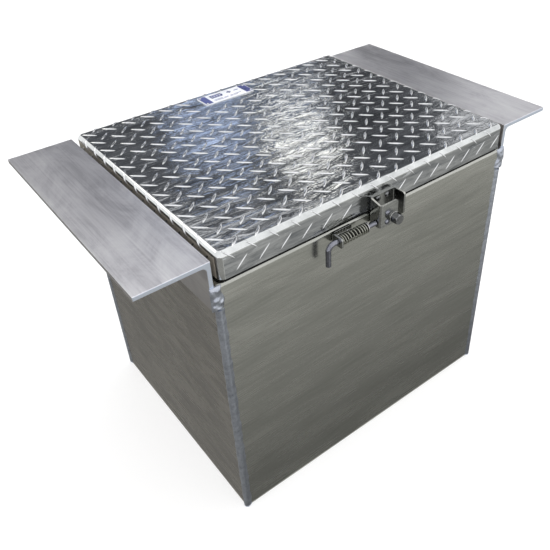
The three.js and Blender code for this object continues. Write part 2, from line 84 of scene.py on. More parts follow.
# Strips of floor in front of the box, as (nearest y, furthest y, tone). They darken towards the box.
FLOOR_STRIPS = (
    (-0.214, -0.28, 0.18),
    (-0.28, -0.36, 0.23),
    (-0.36, -0.46, 0.28),
    (-0.46, -0.58, 0.33),
    (-0.58, -0.72, 0.38),
    (-0.72, -2.0, 0.50),
)
STRIP_MIDDLE_X = 0.86
STRIP_WIDTH = 2.28

# Panels that the bright metal mirrors, as (name, centre, facing, size, colour, strength).
PANELS = (
    ("dim_behind", (1.45, 2.1, 1.75), (-1.45, -2.1, -1.25), (4.0, 2.0), (0.145, 0.15, 0.16), 1.0),
    ("cool_panel", (0.92, 2.08, 1.54), (-0.92, -2.08, -1.0), (0.42, 0.34), (0.50, 0.60, 0.82), 1.9),
    ("cool_panel_right", (1.279, 1.918, 1.375), (-1.28, -1.92, -0.86), (0.6, 0.16), (0.50, 0.60, 0.80), 1.0),
    ("warm_panel", (1.322, 1.708, 1.645), (-1.32, -1.7, -1.1), (0.36, 0.26), (0.95, 0.93, 0.86), 3.3),
    ("dark_panel", (1.62, 1.53, 1.40), (-1.45, -1.65, -0.95), (0.42, 0.24), (0.03, 0.03, 0.035), 1.0),
    ("right_panel", (1.77, 0.80, 1.27), (-0.76, -0.51, -0.40), (0.45, 0.32), (1.0, 1.0, 1.0), 1.1),
    ("rear_left_panel", (-0.85, 1.45, 1.85), (0.6, -1.45, -1.35), (0.9, 0.8), (1.0, 0.97, 0.90), 2.6),
)


def link(piece):
    bpy.context.scene.collection.objects.link(piece)


def set_inputs(target, values):
    """Sets a node's sockets by name."""
    for name, value in values.items():
        target.inputs[name].default_value = value


def make_camera():
    """The camera at the box's near left corner, looking down at it."""
    azimuth, elevation, roll = (math.radians(a) for a in (CAMERA_AZIMUTH, CAMERA_ELEVATION, CAMERA_ROLL))
    back = Vector((
        math.sin(azimuth) * math.cos(elevation),
        -math.cos(azimuth) * math.cos(elevation),
        math.sin(elevation),
    ))
    right = Vector((0, 0, 1)).cross(back).normalized()
    up = back.cross(right)
    turned_right = right * math.cos(roll) + up * math.sin(roll)
    turned_up = up * math.cos(roll) - right * math.sin(roll)
    data = bpy.data.cameras.new("camera")
    data.lens = CAMERA_LENS
    data.sensor_width = 36.0
    data.shift_x, data.shift_y = CAMERA_SHIFT
    data.clip_end = 100.0
    camera = bpy.data.objects.new("camera", data)
    rotation = Matrix((turned_right, turned_up, back)).transposed()
    camera.matrix_world = Matrix.Translation(CAMERA_PLACE) @ rotation.to_4x4()
    link(camera)
    bpy.context.scene.camera = camera


def area_light(name, place, target, size, power):
    """A square light that the metal doesn't mirror."""
    data = bpy.data.lights.new(name, "AREA")
    data.shape = "RECTANGLE"
    data.size = data.size_y = size
    data.energy = power
    light = bpy.data.objects.new(name, data)
    light.location = place
    light.rotation_euler = (Vector(target) - Vector(place)).to_track_quat("-Z", "Y").to_euler()
    light.visible_glossy = False
    link(light)


def glowing_sheet(name, size, base, glow, strength, roughness=0.5):
    """A flat stage rectangle with a plain glowing material."""
    bm = bmesh.new()
    w, h = size[0] / 2, size[1] / 2
    bm.faces.new([bm.verts.new(p) for p in ((-w, -h, 0), (w, -h, 0), (w, h, 0), (-w, h, 0))])
    mesh = bpy.data.meshes.new(name)
    bm.to_mesh(mesh)
    bm.free()
    material = bpy.data.materials.new(name)
    material.use_nodes = True
    set_inputs(material.node_tree.nodes["Principled BSDF"], {
        "Base Color": (*base, 1),
        "Roughness": roughness,
        "Specular IOR Level": 0.0,
        "Emission Color": (*glow, 1),
        "Emission Strength": strength,
    })
    mesh.materials.append(material)
    piece = bpy.data.objects.new(name, mesh)
    link(piece)
    return piece


def card(name, centre, facing, size, colour, strength=1.0):
    """A glowing studio card that only shows in the metal's reflections."""
    piece = glowing_sheet(name, size, (0, 0, 0), colour, strength)
    piece.location = centre
    piece.rotation_euler = Vector(facing).to_track_quat("Z", "Y").to_euler()
    piece.visible_camera = False
    piece.visible_diffuse = False
    piece.visible_shadow = False


def mirrored_floor():
    """What the metal mirrors below the horizon: a grey floor, with strips in front of the box."""
    card("grey_floor", (0, 0, 0.002), (0, 0, 1), (4.0, 4.0), (0.27, 0.267, 0.252))
    for index, (near, far, tone) in enumerate(FLOOR_STRIPS):
        middle = (STRIP_MIDDLE_X, (near + far) / 2, 0.004)
        card(f"floor_strip_{index}", middle, (0, 0, 1), (STRIP_WIDTH, near - far), (tone, tone, tone * 0.95))


def make_stage():
    """A pale floor, a white room, two soft lights, and what the bright metal mirrors."""
    floor = glowing_sheet("floor", (24, 24), (0.6, 0.6, 0.6), (1, 1, 1), 0.5, 0.9)
    floor.location.z = -0.5 * MM

    world = bpy.data.worlds.new("studio")
    world.use_nodes = True
    set_inputs(world.node_tree.nodes["Background"], {"Color": (1, 1, 1, 1), "Strength": 1.05})
    bpy.context.scene.world = world
    bpy.context.scene.view_settings.view_transform = "Standard"

    area_light("side_softbox", (1.35, 0.1, 2.2), (0, 0, 0.5), 1.2, 18)
    area_light("front_left", (-2.0, -2.2, 1.8), (0, 0, 0.3), 0.6, 12)
    mirrored_floor()
    for panel in PANELS:
        card(*panel)


# ---------------------------------------------------------------- materials

def node(tree, kind, **values):
    made = tree.nodes.new(kind)
    for name, value in values.items():
        setattr(made, name, value)
    return made


def noise(tree, coordinates, scale, detail=4.0, roughness=0.55, distortion=0.0):
    """Noise in object space, with its own scale along each axis, in cycles per metre."""
    mapping = node(tree, "ShaderNodeMapping")
    set_inputs(mapping, {"Scale": scale})
    tree.links.new(coordinates, mapping.inputs["Vector"])
    texture = node(tree, "ShaderNodeTexNoise")
    set_inputs(texture, {"Scale": 1.0, "Detail": detail, "Roughness": roughness, "Distortion": distortion})
    tree.links.new(mapping.outputs["Vector"], texture.inputs["Vector"])
    return texture.outputs["Fac"]


def remap(tree, value, low, high, out_low, out_high):
    """Stretches a value from one range to another."""
    ranged = node(tree, "ShaderNodeMapRange")
    set_inputs(ranged, {"From Min": low, "From Max": high, "To Min": out_low, "To Max": out_high})
    tree.links.new(value, ranged.inputs["Value"])
    return ranged.outputs["Result"]


def blend_values(tree, first, second, share):
    mix = node(tree, "ShaderNodeMix", data_type="FLOAT")
    mix.inputs["Factor"].default_value = share
    tree.links.new(first, mix.inputs["A"])
    tree.links.new(second, mix.inputs["B"])
    return mix.outputs["Result"]


def ramp(tree, value, stops):
    """A colour from a value, through stops of (place, colour)."""
    made = node(tree, "ShaderNodeValToRGB")
    elements = made.color_ramp.elements
    while len(elements) < len(stops):
        elements.new(0.5)
    for element, (place, colour) in zip(elements, stops):
        element.position = place
        element.color = (*colour, 1)
    tree.links.new(value, made.inputs["Fac"])
    return made.outputs["Color"]


def add_bump(tree, shader, *layers):
    """Layers are (height, strength, distance in metres), the first one nearest the surface's own shape."""
    normal = None
    for height, strength, distance in layers:
        bump = node(tree, "ShaderNodeBump")
        set_inputs(bump, {"Strength": strength, "Distance": distance})
        tree.links.new(height, bump.inputs["Height"])
        if normal is not None:
            tree.links.new(normal, bump.inputs["Normal"])
        normal = bump.outputs["Normal"]
    tree.links.new(normal, shader.inputs["Normal"])


def start_material(name, metallic, coat=0.0):
    """A new material with its node tree, shader and object coordinates."""
    material = bpy.data.materials.new(name)
    material.use_nodes = True
    tree = material.node_tree
    shader = tree.nodes["Principled BSDF"]
    set_inputs(shader, {"Metallic": metallic, "Coat Weight": coat})
    coordinates = node(tree, "ShaderNodeTexCoord").outputs["Object"]
    return material, tree, shader, coordinates


def metal(name, dark, light, grain, blotch, rough, bumps, spread=(0.32, 0.68), metallic=1.0):
    """Bare metal: fine grain and broad blotches in its colour, its gloss and its surface."""
    material, tree, shader, coordinates = start_material(name, metallic)
    fine = noise(tree, coordinates, grain, detail=6.0, roughness=0.62)
    broad = noise(tree, coordinates, blotch, distortion=0.6)
    mixed = blend_values(tree, broad, fine, 0.45)
    colour = ramp(tree, mixed, [(spread[0], dark), (spread[1], light)])
    tree.links.new(colour, shader.inputs["Base Color"])
    tree.links.new(remap(tree, mixed, 0.3, 0.7, *rough), shader.inputs["Roughness"])
    add_bump(tree, shader, (broad, 1.0, bumps[0]), (fine, 1.0, bumps[1]))
    return material


def faces_along(tree, axis):
    """1 on the faces that look along one object axis, and 0 on the others."""
    parts = node(tree, "ShaderNodeSeparateXYZ")
    tree.links.new(node(tree, "ShaderNodeTexCoord").outputs["Normal"], parts.inputs["Vector"])
    size = node(tree, "ShaderNodeMath", operation="ABSOLUTE")
    tree.links.new(parts.outputs[axis], size.inputs[0])
    return remap(tree, size.outputs[0], 0.6, 0.9, 0.0, 1.0)


# The sockets of a Mix node that carry colours.
MIX_SHARE, MIX_FIRST, MIX_SECOND, MIX_RESULT = 0, 6, 7, 2


def tint(tree, colour, tone, share, blend_type="MIX"):
    """Lays a fixed tone over a colour, as far as the share says."""
    mix = node(tree, "ShaderNodeMix", data_type="RGBA", blend_type=blend_type)
    tree.links.new(share, mix.inputs[MIX_SHARE])
    tree.links.new(colour, mix.inputs[MIX_FIRST])
    mix.inputs[MIX_SECOND].default_value = (*tone, 1)
    return mix.outputs[MIX_RESULT]


def angle_metal(name):
    """Mill-finish bar: lines along Y and stained patches, with painted shade on the side faces and a painted
    pale blue reflection on the sawn ends.
    """
    material, tree, shader, coordinates = start_material(name, 1.0)
    lines = noise(tree, coordinates, (420, 5, 420), detail=6.0, roughness=0.62)
    stains = noise(tree, coordinates, (22, 9, 22), detail=6.0, roughness=0.7, distortion=0.8)
    mixed = blend_values(tree, stains, lines, 0.35)
    tones = [(0.34, (0.62, 0.61, 0.65)), (0.5, (0.84, 0.83, 0.87)), (0.66, (0.97, 0.97, 0.99))]
    skin = ramp(tree, mixed, tones)
    # Faces looking along X are darkened as painted shade. Faces looking along Y, the sawn ends, get a pale
    # blue tone as a painted reflection.
    painted_leg_shade = tint(tree, skin, (0.66, 0.65, 0.63), faces_along(tree, "X"), "MULTIPLY")
    colour = tint(tree, painted_leg_shade, (0.80, 0.87, 1.0), faces_along(tree, "Y"))
    tree.links.new(colour, shader.inputs["Base Color"])
    tree.links.new(remap(tree, mixed, 0.3, 0.7, 0.30, 0.40), shader.inputs["Roughness"])
    add_bump(tree, shader, (stains, 1.0, 0.00012), (lines, 1.0, 0.00004))
    return material


def rubber(name):
    """Black moulded rubber, dusty in patches."""
    material, tree, shader, coordinates = start_material(name, 0.0)
    grit = noise(tree, coordinates, (900, 900, 900), detail=5.0, roughness=0.6)
    dust = noise(tree, coordinates, (9, 9, 9), roughness=0.6)
    colour = ramp(tree, dust, [(0.35, (0.003, 0.003, 0.0035)), (0.75, (0.010, 0.010, 0.009))])
    tree.links.new(colour, shader.inputs["Base Color"])
    tree.links.new(remap(tree, dust, 0.3, 0.7, 0.65, 0.9), shader.inputs["Roughness"])
    set_inputs(shader, {"Specular IOR Level": 0.12})
    add_bump(tree, shader, (grit, 0.6, 0.0001))
    return material


def enamel(name, colour, shade):
    """Glossy print or paint, very slightly uneven."""
    material, tree, shader, coordinates = start_material(name, 0.0, coat=0.4)
    wear = noise(tree, coordinates, (60, 60, 60), detail=5.0, roughness=0.6)
    tree.links.new(ramp(tree, wear, [(0.35, shade), (0.6, colour)]), shader.inputs["Base Color"])
    tree.links.new(remap(tree, wear, 0.3, 0.7, 0.22, 0.38), shader.inputs["Roughness"])
    add_bump(tree, shader, (wear, 0.3, 0.00005))
    return material


# Bare metals, as dark and light tone, grain and blotches in cycles per metre, the range of roughness, and the
# depth of the blotches and of the grain. Some also say where the tones start and end on the mixed noise, and
# how metallic they are.
FINE = (300, 300, 300)
SPOTS = (60, 60, 60)
BROAD = (40, 40, 40)
METALS = {
    "sheet_front": ((0.38, 0.39, 0.36), (0.64, 0.64, 0.605), (9, 9, 300), (5, 5, 26),
                    (0.20, 0.32), (0.0010, 0.00005), (0.24, 0.76)),
    # The side walls' copy of the sheet, darker and warmer than the front's: painted shade on the sides. The
    # floor sheet shares it.
    "sheet_side_painted_shade": ((0.26, 0.25, 0.235), (0.54, 0.515, 0.485), (14, 14, 260), (12, 12, 44),
                   (0.20, 0.34), (0.0015, 0.00012)),
    "handle": ((0.15, 0.155, 0.19), (0.36, 0.37, 0.42), FINE, SPOTS, (0.12, 0.22), (0.0002, 0.00004)),
    # Near-black steel for the bolt inside the spring: painted shade of the coils.
    "rod_painted_shade": ((0.015, 0.015, 0.014), (0.05, 0.05, 0.045), FINE, SPOTS, (0.30, 0.45), (0.0002, 0.00004)),
    # Paler steel on the keeper's upward faces: painted highlight along its top edges.
    "top_painted_highlight": ((0.44, 0.44, 0.41), (0.66, 0.66, 0.62), FINE, SPOTS, (0.30, 0.42), (0.0001, 0.00003)),
    "mill_dull": ((0.50, 0.50, 0.51), (0.68, 0.68, 0.69), (300, 60, 300), (40, 12, 40),
                  (0.34, 0.48), (0.0002, 0.00004)),
    "tread": ((0.24, 0.255, 0.275), (0.62, 0.635, 0.655), (22, 260, 260), (18, 60, 60),
              (0.07, 0.14), (0.0019, 0.00018), (0.36, 0.62)),
    # bend: a paler copy of the tread metal for the pan's folds and rounded corners, a painted highlight.
    "bend": ((0.56, 0.58, 0.585), (0.88, 0.90, 0.905), SPOTS, (26, 26, 26), (0.10, 0.17), (0.0005, 0.00006)),
    # The lid's outer side skirts: a tan, half-metallic copy of the sheet, painted shade and reflection of the
    # narrow gap beside the angles.
    "skirt_painted_gap_shade": ((0.34, 0.31, 0.26), (0.56, 0.52, 0.45), (16, 240, 240), (30, 30, 60),
                   (0.30, 0.42), (0.0005, 0.00006), (0.32, 0.68), 0.35),
    # lug: the tread's own sheet in a much paler tone, a painted highlight on the raised lugs. The label's
    # pins share it.
    "lug": ((0.72, 0.73, 0.75), (0.90, 0.91, 0.93), FINE, BROAD, (0.14, 0.24), (0.0001, 0.00003)),
    "weld": ((0.33, 0.36, 0.43), (0.68, 0.72, 0.80), (700, 700, 700), (120, 120, 160),
             (0.26, 0.42), (0.0007, 0.0001)),
    "steel": ((0.42, 0.42, 0.425), (0.66, 0.66, 0.65), FINE, BROAD, (0.14, 0.26), (0.0002, 0.00004)),
    "dark_steel": ((0.16, 0.165, 0.175), (0.36, 0.365, 0.37), FINE, SPOTS, (0.16, 0.28), (0.0002, 0.00004)),
    "keeper": ((0.21, 0.215, 0.21), (0.48, 0.49, 0.48), (60, 60, 700), BROAD,
               (0.12, 0.22), (0.0003, 0.00003)),
    "spring": ((0.24, 0.245, 0.205), (0.46, 0.465, 0.415), (500, 500, 500), SPOTS,
               (0.06, 0.12), (0.0001, 0.00002)),
}


def make_materials():
    made = {name: metal(name, *look) for name, look in METALS.items()}
    made["angle"] = angle_metal("angle")
    made["rubber"] = rubber("rubber")
    made["white"] = enamel("white", (0.84, 0.86, 0.90), (0.74, 0.76, 0.82))
    made["navy"] = enamel("navy", (0.025, 0.03, 0.20), (0.015, 0.02, 0.12))
    return made


# ---------------------------------------------------------------- mesh helpers

def finish_piece(name, bm, material, body, replaces, sharp=35.0):
    """Turns a mesh into a named piece on its body and in place of its CAD nodes."""
    bmesh.ops.recalc_face_normals(bm, faces=bm.faces)
    mesh = bpy.data.meshes.new(name)
    bm.to_mesh(mesh)
    bm.free()
    mesh.polygons.foreach_set("use_smooth", [True] * len(mesh.polygons))
    mesh.set_sharp_from_angle(angle=math.radians(sharp))
    materials = material if isinstance(material, (list, tuple)) else [material]
    for each in materials:
        mesh.materials.append(each)
    piece = bpy.data.objects.new(name, mesh)
    link(piece)
    if body:
        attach(piece, body)
    if replaces:
        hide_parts(*replaces)
    return piece


def skin(bm, rows):
    """Joins each closed row of vertices to the next one with quads."""
    for first, second in zip(rows, rows[1:]):
        for i in range(len(first)):
            j = (i + 1) % len(first)
            bm.faces.new((first[i], first[j], second[j], second[i]))


def add_loops(bm, loops):
    """Skins a row of point loops of equal length, and caps the first and last."""
    rows = [[bm.verts.new(p) for p in loop] for loop in loops]
    skin(bm, rows)
    bm.faces.new(list(reversed(rows[0])))
    bm.faces.new(rows[-1])


def add_ring(bm, loops):
    """Skins a row of loops that closes on itself, such as a lathed section."""
    rows = [[bm.verts.new(p) for p in loop] for loop in loops]
    skin(bm, rows + rows[:1])


def circle(centre, radius, side, up, count):
    centre, side, up = Vector(centre), Vector(side), Vector(up)
    turns = (TAU * i / count for i in range(count))
    return [centre + side * (radius * math.cos(t)) + up * (radius * math.sin(t)) for t in turns]


# Each axis with the two directions that a circle round it is drawn in.
AXES = {
    "x": (Vector((1, 0, 0)), Vector((0, 1, 0)), Vector((0, 0, 1))),
    "+y": (Vector((0, 1, 0)), Vector((1, 0, 0)), Vector((0, 0, 1))),
    "-y": (Vector((0, -1, 0)), Vector((1, 0, 0)), Vector((0, 0, 1))),
    "z": (Vector((0, 0, 1)), Vector((1, 0, 0)), Vector((0, 1, 0))),
}


def add_turned(bm, base, axis, profile, count=32, closed_ring=False):
    """A turned solid: the profile is a list of (radius, height) along the axis from base."""
    along, side, up = AXES[axis]
    base = Vector(base)
    loops = [circle(base + along * h, r, side, up, count) for r, h in profile]
    if closed_ring:
        add_ring(bm, loops)
    else:
        add_loops(bm, loops)


def arc(cx, cy, radius, start, end, steps):
    """Points of an arc between two angles in degrees."""
    angles = [math.radians(start + (end - start) * i / steps) for i in range(steps + 1)]
    return [(cx + radius * math.cos(a), cy + radius * math.sin(a)) for a in angles]


def in_mm(points):
    return [(a * MM, b * MM) for a, b in points]


def rounded_rectangle(x0, x1, y0, y1, radius, steps):
    corners = ((x1 - radius, y0 + radius, -90), (x1 - radius, y1 - radius, 0),
               (x0 + radius, y1 - radius, 90), (x0 + radius, y0 + radius, 180))
    return [point for cx, cy, start in corners for point in arc(cx, cy, radius, start, start + 90, steps)]


def inset_plan(low, high, inset, radius, steps=8):
    """A box's outline from above, drawn in by an inset, with rounded corners."""
    return rounded_rectangle(low.x + inset, high.x - inset, low.y + inset, high.y - inset, radius, steps)


def sweep(bm, path, radius, count, chamfer=0.0):
    """A round bar along a list of points. A chamfer breaks the edges of its ends."""
    path = [Vector(p) for p in path]
    last = len(path) - 1
    tangents = [(path[min(i + 1, last)] - path[max(i - 1, 0)]).normalized() for i in range(last + 1)]
    side = tangents[0].orthogonal().normalized()
    start, end = path[0].copy(), path[-1].copy()
    loops = []
    if chamfer:
        path[0] += tangents[0] * chamfer
        path[-1] -= tangents[-1] * chamfer
        loops.append(circle(start, radius - chamfer, side, tangents[0].cross(side), count))
    for point, tangent in zip(path, tangents):
        side = (side - tangent * side.dot(tangent)).normalized()
        loops.append(circle(point, radius, side, tangent.cross(side), count))
    if chamfer:
        loops.append(circle(end, radius - chamfer, side, tangents[-1].cross(side), count))
    add_loops(bm, loops)


def mesh_box(bm, low, high):
    x, y, z = zip(low, high)
    corners = [bm.verts.new((a, b, c)) for a in x for b in y for c in z]
    for face in ((0, 1, 3, 2), (4, 6, 7, 5), (0, 4, 5, 1), (2, 3, 7, 6), (0, 2, 6, 4), (1, 5, 7, 3)):
        bm.faces.new([corners[i] for i in face])


def soften(piece, width, segments=3, angle=40.0):
    """Breaks a piece's sharp edges with a small rounding."""
    bevel = piece.modifiers.new("edges", "BEVEL")
    bevel.width = width
    bevel.segments = segments
    bevel.limit_method = "ANGLE"
    bevel.angle_limit = math.radians(angle)


def bevelled_cad(name, material, width):
    """A CAD node keeps its shape and gets its material and slightly broken edges."""
    piece = frame["nodes"][name]
    piece.data.materials.clear()
    piece.data.materials.append(material)
    weld = piece.modifiers.new("weld", "WELD")
    weld.merge_threshold = 0.01 * MM
    soften(piece, width, 3, 35.0)


def carve(piece, *cutters):
    """Cuts closed bmesh shapes out of a piece, and leaves nothing but the cut mesh."""
    for index, bm in enumerate(cutters):
        bmesh.ops.recalc_face_normals(bm, faces=bm.faces)
        mesh = bpy.data.meshes.new("cutter")
        bm.to_mesh(mesh)
        bm.free()
        cutter = bpy.data.objects.new("cutter", mesh)
        link(cutter)
        boolean = piece.modifiers.new(f"cut_{index}", "BOOLEAN")
        boolean.operation = "DIFFERENCE"
        boolean.solver = "EXACT"
        boolean.object = cutter
        bpy.context.view_layer.update()
        evaluated = piece.evaluated_get(bpy.context.evaluated_depsgraph_get())
        cut = bpy.data.meshes.new_from_object(evaluated)
        piece.modifiers.clear()
        old = piece.data
        piece.data = cut
        bpy.data.meshes.remove(old)
        bpy.data.objects.remove(cutter)
        bpy.data.meshes.remove(mesh)
    piece.data.set_sharp_from_angle(angle=math.radians(35))


def round_cutter(base, axis, radius, length):
    bm = bmesh.new()
    add_turned(bm, base, axis, [(radius, 0), (radius, length)])
    return bm


def helix(centre, axis, radius, length, turns, steps):
    """Points of a helix about an axis, with its end turns lying closer together."""
    along, side, up = AXES[axis]
    crowding = 0.22
    points = []
    for i in range(steps + 1):
        t = i / steps
        eased = t - crowding * math.sin(TAU * t) / TAU
        angle = TAU * turns * t
        around = side * (radius * math.cos(angle)) + up * (radius * math.sin(angle))
        points.append(Vector(centre) + along * (length * eased) + around)
    return points


def folded_strip(bm, path, half, heights):
    """A folded sheet on edge: its plan is a path, and heights gives its foot and top at each point."""
    loops = []
    for i, point in enumerate(path):
        before, after = path[max(i - 1, 0)], path[min(i + 1, len(path) - 1)]
        tangent = Vector((after[0] - before[0], after[1] - before[1])).normalized()
        left = Vector((-tangent.y, tangent.x))
        foot, top = heights(i)
        a = Vector(point) + left * half
        b = Vector(point) - left * half
        loops.append([(a.x, a.y, foot), (a.x, a.y, top), (b.x, b.y, top), (b.x, b.y, foot)])
    add_loops(bm, loops)


def corner_cut(distance, corner):
    """How much a sheet's rounded corner takes off its height, at a distance from its end."""
    short = max(0.0, corner - distance)
    return corner - math.sqrt(max(corner * corner - short * short, 0.0))


# ---------------------------------------------------------------- the lid

LID_CORNER = 10 * MM
LID_BEND = 7.5 * MM
LID_SHEET = 2.5 * MM
LUG_PITCH = 34.25 * MM
LUG_LENGTH = 26 * MM
LUG_WIDTH = 4.3 * MM
LUG_HEIGHT = 1.2 * MM
PAN_LOOKS = ("tread", "lug", "bend", "skirt_painted_gap_shade")


def lid_pan(materials):
    """The folded pan: rounded rectangles from inside the skirt, round its foot and over the bend."""
    foot, top = LID_LOW.z, LID_HIGH.z
    bend_foot = top - LID_BEND
    lip = 0.35 * MM
    section = [(LID_SHEET, top - LID_SHEET), (LID_SHEET, foot), (lip, foot), (0.0, foot + lip)]
    section += arc(LID_BEND, bend_foot, LID_BEND, 180, 90, 8)
    loops = []
    for inset, z in section:
        plan = inset_plan(LID_LOW, LID_HIGH, inset, LID_CORNER - inset)
        loops.append([(x, y, z) for x, y in plan])
    bm = bmesh.new()
    add_loops(bm, loops)
    bmesh.ops.recalc_face_normals(bm, faces=bm.faces)
    plain = len(bm.faces)
    for face in bm.faces:
        middle, facing = face.calc_center_median(), face.normal
        on_bend = bend_foot < middle.z < top - 0.1 * MM and facing.z > 0.05
        on_corner = min(abs(facing.x), abs(facing.y)) > 0.22 and middle.z > foot + 1 * MM and facing.z > -0.1
        # Folds and rounded corners take the paler bend material: painted highlight.
        if on_bend or on_corner:
            face.material_index = PAN_LOOKS.index("bend")
        # The outer side skirts take the tan copy: painted shade of the gap beside the angles.
        elif min(abs(middle.x - LID_LOW.x), abs(middle.x - LID_HIGH.x)) < 0.1 * MM:
            face.material_index = PAN_LOOKS.index("skirt_painted_gap_shade")
    for centre, direction in lug_places():
        add_lug(bm, centre, direction)
    bm.faces.ensure_lookup_table()
    # The lugs take the pale lug material: painted highlight.
    for face in bm.faces[plain:]:
        face.material_index = PAN_LOOKS.index("lug")
    looks = [materials[key] for key in PAN_LOOKS]
    finish_piece("lid_tread_pan", bm, looks, "lid", ["lid_shell"], 40.0)


def fold(x, y):
    """Maps a point of the flat sheet to the folded pan: its place and its outward normal."""
    top = LID_HIGH.z
    quarter = LID_BEND * math.pi / 2
    limits = (
        (LID_LOW.x + LID_BEND - x, Vector((-1, 0, 0)), 0),
        (x - (LID_HIGH.x - LID_BEND), Vector((1, 0, 0)), 0),
        (LID_LOW.y + LID_BEND - y, Vector((0, -1, 0)), 1),
        (y - (LID_HIGH.y - LID_BEND), Vector((0, 1, 0)), 1),
    )
    past, out, axis = max(limits, key=lambda item: item[0])
    place = Vector((x, y, top))
    if past <= 0:
        return place, Vector((0, 0, 1))
    place[axis] -= out[axis] * past
    angle = min(past, quarter) / LID_BEND
    reach = LID_BEND * math.sin(angle)
    drop = LID_BEND * (1 - math.cos(angle))
    skirt = top - LID_BEND - LID_LOW.z - 0.4 * MM
    down = min(max(past - quarter, 0.0), skirt)
    normal = out * math.sin(angle) + Vector((0, 0, math.cos(angle)))
    return place + out * reach - Vector((0, 0, drop + down)), normal


def lug_places():
    """Lugs on two square grids that lean opposite ways. Those past an edge of the lid lie on a skirt."""
    label_low, label_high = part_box("label_plate")
    keeper_low, keeper_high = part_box("latch_keeper")
    spare = 7 * MM
    grids = (
        (Vector((1, -1, 0)).normalized(), LID_LOW.x + 16 * MM, LID_HIGH.y - 20 * MM, -LUG_PITCH),
        (Vector((1, 1, 0)).normalized(), LID_LOW.x + 33.2 * MM, LID_LOW.y + 12.4 * MM, LUG_PITCH),
    )
    for direction, first_x, first_y, pitch_y in grids:
        for i in range(-2, 18):
            for j in range(-2, 15):
                x = first_x + i * LUG_PITCH
                y = first_y + j * pitch_y
                past_x = max(LID_LOW.x - x, x - LID_HIGH.x)
                past_y = max(LID_LOW.y - y, y - LID_HIGH.y)
                off_sheet = past_x > 36 * MM or past_y > 30 * MM or y > LID_HIGH.y - 4 * MM
                in_corner = past_x > -14 * MM and past_y > -14 * MM
                under_label = (label_low.x - spare < x < label_high.x + spare
                               and label_low.y - spare < y < label_high.y + spare)
                under_keeper = past_y > 8 * MM and keeper_low.x - spare < x < keeper_high.x + spare
                if not (off_sheet or in_corner or under_label or under_keeper):
                    yield Vector((x, y, 0)), direction


def add_lug(bm, centre, direction):
    """One raised lug: a lens in plan with a rounded back, sunk a little into the sheet."""
    across = Vector((-direction.y, direction.x, 0))
    stations, ribs = 9, 5
    rows, feet = [], []
    for i in range(stations):
        t = -1 + 2 * i / (stations - 1)
        half = LUG_WIDTH / 2 * max(1 - abs(t) ** 2.2, 0.03) ** 0.8
        crown = LUG_HEIGHT * max(1 - t * t, 0.0) ** 0.45
        spine = centre + direction * (t * LUG_LENGTH / 2)
        row = []
        for k in range(ribs):
            s = -1 + 2 * k / (ribs - 1)
            flat = spine + across * (s * half)
            place, normal = fold(flat.x, flat.y)
            if -normal.y > 0.5:
                # Past the front bend a lug is narrower, and its crown falls off to one side.
                flat -= across * (s * half * 0.45)
                place, normal = fold(flat.x, flat.y)
                crown *= 0.88
            row.append(bm.verts.new(place + normal * (crown * (1 - s * s) ** 0.7 - 0.05 * MM)))
        edge = []
        for s in (-1, 1):
            flat = spine + across * (s * half)
            place, normal = fold(flat.x, flat.y)
            edge.append(bm.verts.new(place - normal * 0.5 * MM))
        rows.append(row)
        feet.append(edge)
    for i in range(stations - 1):
        for k in range(ribs - 1):
            bm.faces.new((rows[i][k], rows[i + 1][k], rows[i + 1][k + 1], rows[i][k + 1]))
        bm.faces.new((feet[i][0], feet[i + 1][0], rows[i + 1][0], rows[i][0]))
        bm.faces.new((rows[i][-1], rows[i + 1][-1], feet[i + 1][1], feet[i][1]))
        bm.faces.new((feet[i][1], feet[i + 1][1], feet[i + 1][0], feet[i][0]))
    bm.faces.new([feet[0][0]] + rows[0] + [feet[0][1]])
    bm.faces.new([feet[-1][1]] + rows[-1][::-1] + [feet[-1][0]])


def rim_height(x, y):
    """The top of the tub's rim under a point, with its folded outer edge."""
    inset = min(HALF_WIDTH - abs(x), REAR_Y - abs(y), RIM_BEND)
    return RIM_Z - RIM_BEND + math.sqrt(max(RIM_BEND ** 2 - (RIM_BEND - inset) ** 2, 0.0))


def lid_seal(materials):
    """The rubber seal between the rim and the lid's skirt. Its outer edge follows the rim's fold."""
    gap = 0.05 * MM
    top = LID_LOW.z - gap
    inner = 16 * MM

    def loop(inset, z=None):
        plan = inset_plan(LID_LOW, LID_HIGH, inset, max(LID_CORNER - inset, 2 * MM))
        return [(x, y, rim_height(x, y) + gap if z is None else z) for x, y in plan]

    loops = [loop(inset) for inset in (2.4 * MM, 2.8 * MM, 3.3 * MM, 4.0 * MM, 5.2 * MM, inner)]
    loops += [loop(inner, top), loop(3.0 * MM, top), loop(2.4 * MM, top - 0.6 * MM)]
    bm = bmesh.new()
    add_ring(bm, loops)
    gaskets = [f"gasket_{word}" for word in ("front", "rear", "left", "right")]
    finish_piece("lid_seal", bm, materials["rubber"], "tub", gaskets, 40.0)


# ---------------------------------------------------------------- the tub's sheets

def wall_section():
    """A wall's section as (distance in from the outer face, height), with its rim folded inwards."""
    bend_foot = RIM_Z - RIM_BEND
    points = [(0.0, 0.0), (0.0, bend_foot)]
    points += arc(RIM_BEND, bend_foot, RIM_BEND, 171, 90, 9)
    points += [(RIM_LIP, RIM_Z), (RIM_LIP, RIM_Z - SHEET)]
    points += arc(RIM_BEND, bend_foot, RIM_BEND - SHEET, 90, 180, 3)
    points += [(SHEET, 0.0)]
    return points


